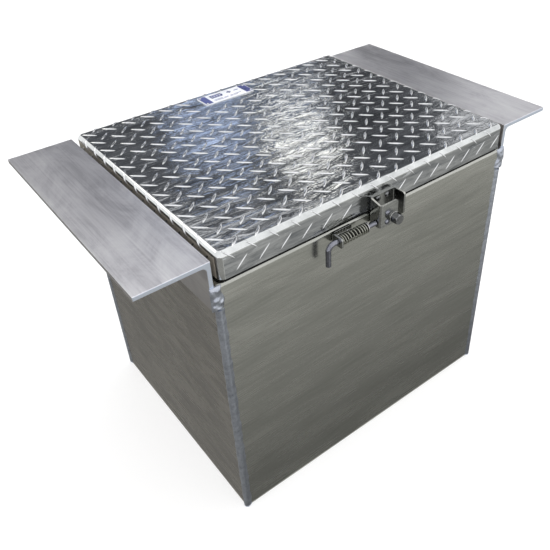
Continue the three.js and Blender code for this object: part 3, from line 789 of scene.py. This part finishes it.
def wall_sheet(name, node_name, material, start, along, inward, length, rim_gap):
    """A wall extruded along its length in short steps, very slightly uneven as hand-welded sheet is."""
    section = wall_section()
    random.seed(len(node_name) * 7 + 3)
    ranges = ((1.0, 3.2), (0, TAU), (0.8, 2.4), (0, TAU))
    waves = [[random.uniform(*limits) for limits in ranges] for _ in range(3)]
    steps = 24
    bm = bmesh.new()
    loops = []
    for i in range(steps + 1):
        s = length * i / steps
        loop = []
        for inset, z in section:
            reach = min(max(s, rim_gap), length - rim_gap) if inset > SHEET + 0.1 * MM else s
            loop.append(start + along * reach + inward * inset + Vector((0, 0, z)))
        loops.append(loop)
    add_loops(bm, loops)
    bmesh.ops.recalc_face_normals(bm, faces=bm.faces)
    flat = [f for f in bm.faces if len(f.verts) == 4 and abs(f.normal.dot(inward)) > 0.9]
    cuts = set()
    for face in flat:
        for edge in face.edges:
            if abs((edge.verts[0].co - edge.verts[1].co).normalized().z) > 0.9:
                cuts.add(edge)
    bmesh.ops.subdivide_edges(bm, edges=list(cuts), cuts=15, use_grid_fill=True)
    for vert in bm.verts:
        s = (vert.co - start).dot(along)
        inset = (vert.co - start).dot(inward)
        if inset > SHEET + 0.2 * MM:
            continue
        across, up = s / length, vert.co.z / RIM_Z
        edge = min(1.0, 8 * across * (1 - across)) * min(1.0, 7 * max(0.0, up) * (1 - up))
        bulge = sum(math.sin(TAU * a * across + b) * math.sin(TAU * c * up + d) for a, b, c, d in waves)
        vert.co += inward * (0.16 * MM * edge * (1.6 + bulge))
    return finish_piece(name, bm, material, "tub", [node_name], 30.0)


def tub_walls(materials):
    """The front sheet between the two sides. The sides' rims stop short of the front and rear ones."""
    inner = HALF_WIDTH - SHEET
    wall_sheet("front_sheet", "front_panel", materials["sheet_front"], Vector((-inner, FRONT_Y, 0)),
               Vector((1, 0, 0)), Vector((0, 1, 0)), 2 * inner, 0.0)
    depth = REAR_Y - FRONT_Y - 2 * SHEET
    gap = RIM_LIP - SHEET + 0.3 * MM
    for side, word in ((-1, "left"), (1, "right")):
        # The side walls take the darker copy of the sheet: painted shade.
        wall_sheet(f"{word}_sheet", f"{word}_panel", materials["sheet_side_painted_shade"],
                   Vector((side * HALF_WIDTH, FRONT_Y + SHEET, 0)), Vector((0, 1, 0)),
                   Vector((-side, 0, 0)), depth, gap)


# ---------------------------------------------------------------- the welds

BEAD_PITCH = 3.0 * MM


def ripple(z, angle, seed):
    """How far a weld bead stands out: scales that lap over each other, each a little different."""
    phase = z / BEAD_PITCH + 0.35 * math.cos(angle)
    cell = math.floor(phase)
    part = phase - cell
    random.seed(cell * 13 + seed)
    lift = random.uniform(-0.25, 0.25)
    return 0.42 * math.sin(math.pi * part) ** 0.6 + lift


def corner_weld(name, sx, sy, materials, seed):
    """A rippled bead down one corner of the tub. It rounds the corner and laps over both sheets."""
    low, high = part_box(name)
    radius = 5.5 * MM
    bead_edge = 7.6 * MM
    centre = Vector((sx * (HALF_WIDTH - 3 * MM), sy * (REAR_Y - 3 * MM)))
    bm = bmesh.new()
    loops = []
    rings = int((high.z - low.z) / (0.85 * MM))
    for i in range(rings + 1):
        z = low.z + (high.z - low.z) * i / rings
        edge = (0.5 * math.sin(z / (4.1 * MM) + seed) + 0.4 * math.sin(z / (9.7 * MM))) * MM
        lap = 2.2 * MM + edge
        loop = [
            (sx * (HALF_WIDTH - SHEET), sy * (REAR_Y - SHEET), z),
            (sx * (HALF_WIDTH + 0.02 * MM), sy * (REAR_Y - bead_edge - lap), z),
        ]
        for k in range(13):
            angle = math.radians(-29 + 148 * k / 12)
            swing = angle - math.radians(45)
            reach = radius + (ripple(z, swing, seed) - 0.5) * 0.42 * MM
            loop.append((centre.x + sx * reach * math.cos(angle), centre.y + sy * reach * math.sin(angle), z))
        loop.append((sx * (HALF_WIDTH - bead_edge - lap), sy * (REAR_Y + 0.02 * MM), z))
        loops.append(loop)
    add_loops(bm, loops)
    finish_piece(f"{name}_bead", bm, materials["weld"], "tub", [name], 50.0)


def leg_weld(name, sx, sy, materials, seed):
    """The heavy lumpy weld that ties the end of an angle's leg to the corner."""
    low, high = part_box(name)
    reach = max(abs(low.x), abs(high.x)) + 1.2 * MM
    front = REAR_Y - 2 * MM
    bm = bmesh.new()
    loops = []
    rings, around = 60, 26
    random.seed(seed)
    blobs = [(random.uniform(0.05, 0.95), random.uniform(0.1, 0.9), random.uniform(0.10, 0.2),
              random.uniform(0.5, 1.5)) for _ in range(16)]
    for i in range(rings + 1):
        t = i / rings
        z = low.z + (high.z - low.z) * t
        taper = min(1.0, 7 * t + 0.25, 9 * (1 - t) + 0.3)
        loop = [(sx * (HALF_WIDTH - SHEET), sy * (REAR_Y - SHEET), z),
                (sx * HALF_WIDTH, sy * (REAR_Y - SHEET), z), (sx * HALF_WIDTH, sy * front, z),
                (sx * (HALF_WIDTH + 5.8 * MM), sy * front, z)]
        for k in range(around + 1):
            u = k / around
            angle = math.radians(4 + 172 * u)
            lump = sum(h * math.exp(-((t - a) ** 2 + ((u - b) * 0.7) ** 2) / (c * c * 0.35))
                       for a, b, c, h in blobs)
            wave = 0.5 * math.sin(TAU * (t * 5.2 + 0.3 * math.cos(angle)) + seed)
            out = (3.2 + 1.3 * lump + 0.2 * wave) * MM * taper
            lap = (12.0 + 1.6 * math.sin(9 * t + seed) - 3 * t) * MM
            mid = (HALF_WIDTH - lap + reach) / 2
            half = (reach - HALF_WIDTH + lap) / 2
            x = mid + half * math.cos(angle)
            y = REAR_Y - 1.2 * MM + min(out, 5.8 * MM) * math.sin(angle)
            loop.append((sx * x, sy * y, z))
        loops.append(loop)
    add_loops(bm, loops)
    finish_piece(f"{name}_bead", bm, materials["weld"], "tub", [name], 60.0)


def all_welds(materials):
    for index, (fore, sy) in enumerate((("front", -1), ("rear", 1))):
        for side, sx in (("left", -1), ("right", 1)):
            corner_weld(f"corner_weld_{fore}_{side}", sx, sy, materials, 100 * index + 10 * sx)
            leg_weld(f"leg_weld_{fore}_{side}", sx, sy, materials, 5 + 3 * index + sx)


# ---------------------------------------------------------------- the spring bolt and its keeper

def rod_axis():
    """The bolt's axis as (y, z), and its radius."""
    low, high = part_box("latch_rod")
    radius = (high.y - low.y) / 2
    return (low.y + high.y) / 2, high.z - radius, radius


def rod_hole(x):
    """A cutter for the bolt's clear hole through a bracket's ear, from a place along the bolt."""
    y, z, radius = rod_axis()
    return round_cutter((x - 2 * MM, y, z), "x", radius + 0.6 * MM, 8 * MM)


def keeper(materials):
    """The keeper: a front flange, a side, a back on the skirt and an ear, folded from one strip."""
    low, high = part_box("latch_keeper")
    sheet = 3 * MM
    half = sheet / 2
    radius = 3.2 * MM
    corner = 3.6 * MM
    flange_end = 14.5 * MM
    flange_drop = 5 * MM
    ear_front = low.y + 1 * MM
    x0, x1 = low.x + half, high.x - half
    y0, y1 = low.y + half, high.y - half
    flange = [flange_end - d * MM for d in (0.0, 0.35, 0.9, 1.6, 2.6, 3.6, 12)]
    ear = [ear_front + d * MM for d in (11, 8, 6, 3.6, 2.6, 1.6, 0.9, 0.35, 0.0)]
    path = [(x, y0) for x in flange]
    path += arc(x0 + radius, y0 + radius, radius, 270, 180, 8)
    path += [(x0, y0 + (y1 - y0) * t) for t in (0.35, 0.65)]
    side_end = len(path)
    path += arc(x0 + radius, y1 - radius, radius, 180, 90, 8)
    path += [(x0 + (x1 - x0) * t, y1) for t in (0.35, 0.65)]
    path += arc(x1 - radius, y1 - radius, radius, 90, 0, 8)
    path += [(x1, y) for y in ear]

    def heights(i):
        x, y = path[i]
        foot, top = low.z, high.z
        if i <= side_end:
            slope = (high.y - sheet - y) / (high.y - sheet - low.y)
            top -= flange_drop * min(max(slope, 0.0), 1.0)
        if i < len(flange):
            cut = corner_cut(flange_end - x, corner)
            foot, top = foot + cut, top - cut
        if i >= len(path) - len(ear):
            top -= corner_cut(y - ear_front, corner)
            foot += max(8 * MM - (y - ear_front), 0.0)
        return foot, top

    bm = bmesh.new()
    folded_strip(bm, path, half, heights)
    bmesh.ops.recalc_face_normals(bm, faces=bm.faces)
    # Faces looking up take the paler material: painted highlight along the top edges.
    for face in bm.faces:
        face.material_index = 1 if face.normal.z > 0.5 else 0
    looks = [materials["keeper"], materials["top_painted_highlight"]]
    piece = finish_piece("keeper_bracket", bm, looks, "lid", ["latch_keeper"])
    behind_rim = bmesh.new()
    mesh_box(behind_rim, (low.x - 1 * MM, FRONT_Y - 0.9 * MM, low.z - 1 * MM),
             (high.x + 1 * MM, FRONT_Y + 5 * MM, LID_LOW.z))
    carve(piece, rod_hole(low.x), behind_rim)
    soften(piece, 0.45 * MM)
    bevelled_cad("keeper_socket", materials["dark_steel"], 0.8 * MM)


def dome_head(name, body, material, facing, dimple=True, swell=1.0):
    """A rivet or screw head turned from a smooth profile. Swell makes it larger than its CAD dome."""
    low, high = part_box(name)
    centre = (low + high) / 2
    radius = (high.x - low.x) / 2 * swell
    height = (high.y - low.y) * swell
    sunk, tip = 0.2 * MM, 0.02 * MM
    base = (centre.x, high.y if facing == "-y" else low.y, centre.z)
    profile = [(sunk, -sunk), (radius, -sunk), (radius, 0.25 * height)]
    for degrees in range(12, 80, 11):
        angle = math.radians(degrees)
        profile.append((radius * math.cos(angle), height * (0.25 + 0.75 * math.sin(angle))))
    if dimple:
        profile += [(radius * 0.22, height * 0.98), (radius * 0.14, height * 0.6), (tip, height * 0.55)]
    else:
        profile += [(tip, height)]
    bm = bmesh.new()
    add_turned(bm, base, facing, profile, 28)
    return finish_piece(f"{name}_head", bm, material, body, [name], 50.0)


def washer(name, body, material, base, axis, size, edge, count):
    """A flat ring on its base, as (bore radius, radius, thickness), with broken outer edges."""
    bore, radius, thick = size
    profile = [(bore, 0), (radius - edge, 0), (radius, edge), (radius, thick - edge),
               (radius - edge, thick), (bore, thick)]
    bm = bmesh.new()
    add_turned(bm, base, axis, profile, count, True)
    finish_piece(f"{name}_ring", bm, material, body, [name])


def keeper_fasteners(materials):
    """The rivets, the slotted screws on the front flange, and the bolt with its washer."""
    for word in ("left", "right"):
        dome_head(f"keeper_rivet_{word}", "lid", materials["dark_steel"], "-y", swell=1.15)
        dome_head(f"guide_rivet_{word}", "tub", materials["steel"], "-y")
    reach, half_slot = 4 * MM, 0.45 * MM
    for word in ("upper", "lower"):
        name = f"keeper_screw_{word}"
        piece = dome_head(name, "lid", materials["handle"], "-y", dimple=False, swell=1.3)
        low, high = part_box(name)
        centre = (low + high) / 2
        slot = bmesh.new()
        mesh_box(slot, (centre.x - reach, low.y - 1 * MM, centre.z - half_slot),
                 (centre.x + reach, low.y + 1.1 * MM, centre.z + half_slot))
        carve(piece, slot)
    low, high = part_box("keeper_washer")
    centre = (low + high) / 2
    size = (4.3 * MM, (high.z - low.z) / 2, high.y - low.y)
    base = (centre.x, high.y, centre.z)
    washer("keeper_washer", "lid", materials["steel"], base, "-y", size, 0.35 * MM, 40)
    hex_bolt("keeper_bolt", materials["dark_steel"])


def hex_bolt(name, material):
    """A hexagon head with its chamfered face, on a plain shank. It stands further out than its CAD head."""
    low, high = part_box(name)
    washer_low, washer_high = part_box("keeper_washer")
    centre = Vector(((low.x + high.x) / 2, 0, (washer_low.z + washer_high.z) / 2))
    face = washer_low.y - 0.3 * MM
    tip = low.y - 4 * MM
    height = face - tip
    across = (high.z - low.z) / 2 * 1.12
    around = 48
    stations = [(0.0, 1.0), (0.3 * MM, 1.0), (height - 1.6 * MM, 1.0), (height - 1.1 * MM, 0.97),
                (height - 0.6 * MM, 0.93), (height - 0.15 * MM, 0.88), (height, 0.85)]
    loops = []
    for out, limit in stations:
        loop = []
        for i in range(around):
            angle = TAU * i / around
            within = (angle % (TAU / 6)) - TAU / 12
            flat = across * math.cos(TAU / 12) / math.cos(within)
            reach = min(flat, across * limit)
            loop.append((centre.x + reach * math.sin(angle), face - out, centre.z + reach * math.cos(angle)))
        loops.append(loop)
    loops.append(circle((centre.x, tip + 0.02 * MM, centre.z), across * 0.6, (0, 0, 1), (1, 0, 0), around))
    bm = bmesh.new()
    add_loops(bm, loops)
    shank = high.y - face
    profile = [(4 * MM, 0), (4 * MM, shank - 0.3 * MM), (3.3 * MM, shank + 0.5 * MM)]
    add_turned(bm, (centre.x, face - 0.5 * MM, centre.z), "+y", profile, 24)
    finish_piece(f"{name}_hex", bm, material, "lid", [name], 25.0)


def guide(materials):
    """The guide: a strip folded once, with an ear that the bolt runs through."""
    low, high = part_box("latch_guide")
    half = 1.5 * MM
    radius = 3 * MM
    corner = 3 * MM
    x0, y1 = low.x + half, high.y - half
    ear = [low.y + d * MM for d in (0.0, 0.35, 0.9, 1.6, 2.4, 3.2, 10)]
    path = [(x0, y) for y in ear]
    path += arc(x0 + radius, y1 - radius, radius, 180, 90, 8)
    path += [(high.x - d * MM, y1) for d in (12, 3.2, 2.4, 1.6, 0.9, 0.35, 0.0)]

    def heights(i):
        x, y = path[i]
        cut = corner_cut(y - low.y if i < len(ear) else high.x - x, corner)
        return low.z + cut, high.z - cut

    bm = bmesh.new()
    folded_strip(bm, path, half, heights)
    piece = finish_piece("guide_bracket", bm, materials["keeper"], "tub", ["latch_guide"])
    carve(piece, rod_hole(low.x))
    soften(piece, 0.7 * MM)


def rod(materials):
    """The bolt: a bar whose outer end is bent down into a handle. Inside the spring it is near black, painted
    shade of the coils.
    """
    low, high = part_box("latch_rod")
    spring_low, spring_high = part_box("latch_spring")
    y, z, radius = rod_axis()
    x = low.x + radius
    bend = 9 * MM
    path = [(x, y, low.z + (z - bend - low.z) * t) for t in (0.0, 0.3, 0.6, 0.85)]
    path += [(a, y, b) for a, b in arc(x + bend, z - bend, bend, 180, 90, 14)]
    path += [(a, y, z) for a in (spring_low.x, spring_high.x, (spring_high.x + high.x) / 2, high.x)]
    bm = bmesh.new()
    sweep(bm, path, radius, 28, 0.9 * MM)
    # The faces inside the spring take the near-black material: painted shade.
    for face in bm.faces:
        if spring_low.x < face.calc_center_median().x < spring_high.x:
            face.material_index = 1
    looks = [materials["handle"], materials["rod_painted_shade"]]
    finish_piece("bolt_rod", bm, looks, "bolt", ["latch_rod"], 30.0)


def split_pin(materials):
    """A split pin through the bolt: a loop above it, and two legs that spread below it."""
    low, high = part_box("cotter_pin")
    y, z, radius = rod_axis()
    wire = 0.62 * MM
    loop_radius = 1.9 * MM
    top = high.z - loop_radius - wire
    over, under = z + radius, z - radius
    path = [(y - 2.2 * MM, low.z + 0.5 * MM), (y - 1.4 * MM, under - 1.6 * MM)]
    path += [(y - wire, under), (y - wire, over)]
    path += arc(y, top, loop_radius, 215, -35, 14)
    path += [(y + wire, over), (y + wire, under)]
    path += [(y + 1.2 * MM, under - 1.8 * MM), (y + 1.8 * MM, low.z + 1.4 * MM)]
    x = (low.x + high.x) / 2
    bm = bmesh.new()
    sweep(bm, [(x, a, b) for a, b in path], wire, 10)
    finish_piece("cotter_split_pin", bm, materials["steel"], "bolt", ["cotter_pin"], 60.0)


def spring(materials):
    """The coil spring, lying between the guide and the washer that moves with the bolt."""
    low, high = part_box("latch_spring")
    centre = (low + high) / 2
    wire = 0.95 * MM
    radius = (high.z - low.z) / 2 - wire + 0.7 * MM
    start = Vector((low.x + wire, centre.y, centre.z))
    end = Vector((high.x - wire, centre.y, centre.z))
    bm = bmesh.new()
    sweep(bm, helix(start, "x", radius, end.x - start.x, 10.0, 320), wire, 10)
    piece = finish_piece("spring_coil", bm, materials["spring"], None, ["latch_spring"], 60.0)
    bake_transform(piece)
    low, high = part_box("spring_washer")
    size = (4.4 * MM, (high.z - low.z) / 2, high.x - low.x)
    base = (low.x, centre.y, centre.z)
    washer("spring_washer", "bolt_carrier", materials["steel"], base, "x", size, 0.3 * MM, 36)


# ---------------------------------------------------------------- the label plate

def label(materials):
    """A plain rating-plate look without words: a white field, dark ends, a battery symbol and charge bars."""
    low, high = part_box("label_plate")
    low, high = low + Vector((6, 3, 0)) * MM, high - Vector((3, 3, 0)) * MM
    width, depth = (high.x - low.x) / MM, (high.y - low.y) / MM
    top = high.z
    edge = 0.3 * MM
    loops = []
    for inset, z in ((0.0, low.z), (0.0, top - edge), (0.1 * MM, top - 0.1 * MM), (edge, top)):
        loops.append([(x, y, z) for x, y in inset_plan(low, high, inset, 2.5 * MM, 6)])
    bm = bmesh.new()
    add_loops(bm, loops)
    finish_piece("label_base", bm, materials["white"], "lid", ["label_plate"], 40.0)

    ink = bmesh.new()
    foot, raised = top - 0.1 * MM, top + 0.12 * MM

    def patch(x0, x1, y0, y1, radius=0.4):
        """A raised patch of print, in mm from the plate's near left corner."""
        plan = rounded_rectangle(x0, x1, y0, y1, min(radius, (x1 - x0) / 2.1, (y1 - y0) / 2.1), 3)
        add_loops(ink, [[(low.x + x * MM, low.y + y * MM, z) for x, y in plan] for z in (foot, raised)])

    margin, end = 1.2, 13.5
    for x in (margin, width - margin - end):
        patch(x, x + end, margin, depth - margin, 1.5)
    # A battery symbol of four sides and a terminal, and three charge bars in it.
    x0, y0, line = 21, depth / 2 - 0.5, 2.2
    x1, y1 = x0 + 22, y0 + 12
    patch(x0, x1, y0, y0 + line)
    patch(x0, x1, y1 - line, y1)
    patch(x0, x0 + line, y0, y1)
    patch(x1 - line, x1, y0, y1)
    patch(x1, x1 + 2, y0 + 3.5, y1 - 3.5)
    for i in range(3):
        patch(x0 + 3.4 + 5.4 * i, x0 + 7.2 + 5.4 * i, y0 + 3.2, y1 - 3.2)
    # Plus and minus signs, and two rows of plain bars beneath.
    x = 54
    patch(x, x + 9, y0 + 4.8, y0 + 7.2)
    patch(x + 3.3, x + 5.7, y0 + 1.5, y0 + 10.5)
    patch(x + 15, x + 24, y0 + 4.8, y0 + 7.2)
    for bar_start, bar_end in ((20, 38), (41, 50), (53, 76)):
        patch(bar_start, bar_end, 8.5, 10)
    for bar_start, bar_end in ((20, 48), (52, 68)):
        patch(bar_start, bar_end, 5, 6.2)
    finish_piece("label_print", ink, materials["navy"], "lid", [], 40.0)

    pins = bmesh.new()
    inset = 4.5 * MM
    profile = in_mm([(1.9, 0), (1.9, 0.5), (1.5, 0.95), (0.8, 1.2), (0.02, 1.25)])
    for x in (low.x + inset, high.x - inset):
        for y in (low.y + inset, high.y - inset):
            add_turned(pins, (x, y, top - 0.2 * MM), "z", profile, 18)
    finish_piece("label_pins", pins, materials["lug"], "lid", [], 50.0)


# ---------------------------------------------------------------- the hinge, grommets and inside pieces

def hinge_leaf(name, body, upward, materials):
    """A thin leaf whose knuckles are rolled round the pin."""
    low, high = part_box(name)
    pin_low, pin_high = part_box("hinge_pin")
    axis = (pin_low + pin_high) / 2
    radius = high.y - axis.y
    thick = 1.5 * MM
    gap = 0.3 * MM
    sign = 1 if upward else -1
    edge = axis.z + sign * 3.7 * MM
    z0, z1 = sorted((edge, high.z if upward else low.z))
    bm = bmesh.new()
    mesh_box(bm, (low.x, low.y, z0), (high.x, low.y + thick, z1))
    turned = 180 + sign * 285
    section = [(low.y, edge), (low.y, axis.z)]
    section += arc(axis.y, axis.z, radius, 180, turned, 19)
    section += arc(axis.y, axis.z, 1.5 * MM, turned, 180, 19)
    section += [(low.y + thick, axis.z + sign * 3 * MM), (low.y + thick, edge)]
    knuckles = 7
    length = (pin_high.x - pin_low.x) / knuckles
    for index in range(1 if upward else 0, knuckles, 2):
        x0 = pin_low.x + index * length + gap
        add_loops(bm, [[(x, y, z) for y, z in section] for x in (x0, x0 + length - 2 * gap)])
    piece = finish_piece(f"{name}_plate", bm, materials["mill_dull"], body, [name], 30.0)
    soften(piece, 0.15 * MM, 1, 60.0)


def grommet(name, materials):
    """A rubber ring whose groove holds the rear sheet's edge, with a rounded lip on both sides."""
    low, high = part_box(name)
    centre = (low + high) / 2
    outer = (high.x - low.x) / 2 / MM
    bore, groove, lip = 14, 19.7, 3
    sheet = SHEET / MM
    section = [
        (bore, 1 - sheet - lip), (bore + 1.2, -sheet - lip), (outer - 3, -sheet - lip),
        (outer - 0.8, 0.9 - sheet - lip), (outer, -sheet - 0.7), (outer - 0.4, -sheet - 0.3),
        (groove, -sheet - 0.3), (groove, 0.3), (outer - 0.4, 0.3), (outer, 0.7),
        (outer - 0.8, lip - 0.9), (outer - 3, lip), (bore + 1.2, lip), (bore, lip - 1),
    ]
    bm = bmesh.new()
    add_turned(bm, (centre.x, REAR_Y, centre.z), "+y", in_mm(section), 48, True)
    finish_piece(f"{name}_ring", bm, materials["rubber"], "tub", [name], 35.0)


def tie_rod(name, materials):
    """A threaded rod with its hexagon head under the clip."""
    low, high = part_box(name)
    centre = (low + high) / 2
    pitch, crest, root = 1.5 * MM, 4 * MM, 3.35 * MM
    around, rings_per_turn = 20, 6
    step = pitch / rings_per_turn
    thread_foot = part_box("hold_down_bar")[0].z - 22 * MM
    rings = int((high.z - 1 * MM - thread_foot) / step)

    def plain_ring(z, radius):
        return circle((centre.x, centre.y, z), radius, (1, 0, 0), (0, 1, 0), around)

    plain = (low.z + 5.5 * MM, low.z + 60 * MM, thread_foot - 2 * MM)
    loops = [plain_ring(z, crest - 0.1 * MM) for z in plain]
    for i in range(rings + 1):
        z = thread_foot + i * step
        loop = []
        for k in range(around):
            turn = k / around
            part = (z / pitch - turn) % 1.0
            reach = root + (crest - root) * (1 - abs(2 * part - 1))
            angle = TAU * turn
            loop.append((centre.x + reach * math.cos(angle), centre.y + reach * math.sin(angle), z))
        loops.append(loop)
    loops.append(plain_ring(high.z, root - 0.3 * MM))
    bm = bmesh.new()
    add_loops(bm, loops)
    head = in_mm([(5.6, 0), (6.4, 0.7), (6.4, 5.2), (4, 5.2)])
    add_turned(bm, (centre.x, centre.y, low.z), "z", head, 6)
    finish_piece(f"{name}_thread", bm, materials["steel"], "tub", [name], 40.0)


def mat_ribs(materials):
    """Low ribs along the rubber mat, with the clips' notches left clear."""
    low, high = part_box("floor_mat")
    clips = [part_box(f"hold_down_clip_{word}") for word in ("left", "right")]
    half, height, pitch = 2 * MM, 1.2 * MM, 14 * MM
    slope, sunk = 0.9 * MM, 0.2 * MM
    clear = 4 * MM
    near, far = low.y + 6 * MM, high.y - 6 * MM
    count = int((high.x - low.x - 16 * MM) / pitch)
    first = (low.x + high.x) / 2 - count * pitch / 2
    bm = bmesh.new()
    for i in range(count + 1):
        x = first + i * pitch
        spans = [(near, far)]
        for clip_low, clip_high in clips:
            if clip_low.x - clear < x < clip_high.x + clear:
                spans = [(near, clip_low.y - clear), (clip_high.y + clear, far)]
        section = [(x - half, high.z - sunk), (x - half + slope, high.z + height),
                   (x + half - slope, high.z + height), (x + half, high.z - sunk)]
        for span in spans:
            add_loops(bm, [[(a, y, z) for a, z in section] for y in span])
    finish_piece("mat_ribs", bm, materials["rubber"], "tub", [], 30.0)


# ---------------------------------------------------------------- the whole box

make_camera()
make_stage()
MATERIALS = make_materials()
for build in (lid_pan, lid_seal, tub_walls, all_welds, keeper, keeper_fasteners,
              guide, rod, split_pin, spring, label):
    build(MATERIALS)
hinge_leaf("hinge_tub_leaf", "tub", False, MATERIALS)
hinge_leaf("hinge_lid_leaf", "lid", True, MATERIALS)
for number in (1, 2, 3):
    for owner in ("tub", "lid"):
        rivet = f"hinge_{owner}_rivet_{number}"
        dome_head(rivet, owner, MATERIALS["mill_dull"], "+y")
for word in ("left", "right"):
    grommet(f"cable_grommet_{word}", MATERIALS)
    tie_rod(f"hold_down_rod_{word}", MATERIALS)
mat_ribs(MATERIALS)

# The CAD nodes that are carried over: their looks, and how far their edges are broken.
CAD_LOOKS = {"rear_panel": "sheet_front", "floor_panel": "sheet_side_painted_shade", "hold_down_bar": "mill_dull"}
CAD_EDGES = {"hold_down_bar": 1 * MM}
for word in ("left", "right"):
    CAD_LOOKS[f"mounting_angle_{word}"] = "angle"
    CAD_LOOKS[f"hold_down_clip_{word}"] = "mill_dull"
    CAD_EDGES[f"mounting_angle_{word}"] = 0.7 * MM
    CAD_EDGES[f"wing_nut_{word}"] = 0.9 * MM
SLOT_LOOKS = {"bright_steel": "steel", "black_rubber": "rubber"}
SLOTS = {row["node"]: row["material_slot"] for row in frame["record"]["subparts"]}
for name, cad_node in frame["nodes"].items():
    if not cad_node.hide_render and not cad_node.modifiers:
        look = CAD_LOOKS[name] if name in CAD_LOOKS else SLOT_LOOKS[SLOTS[name]]
        bevelled_cad(name, MATERIALS[look], CAD_EDGES.get(name, 0.4 * MM))
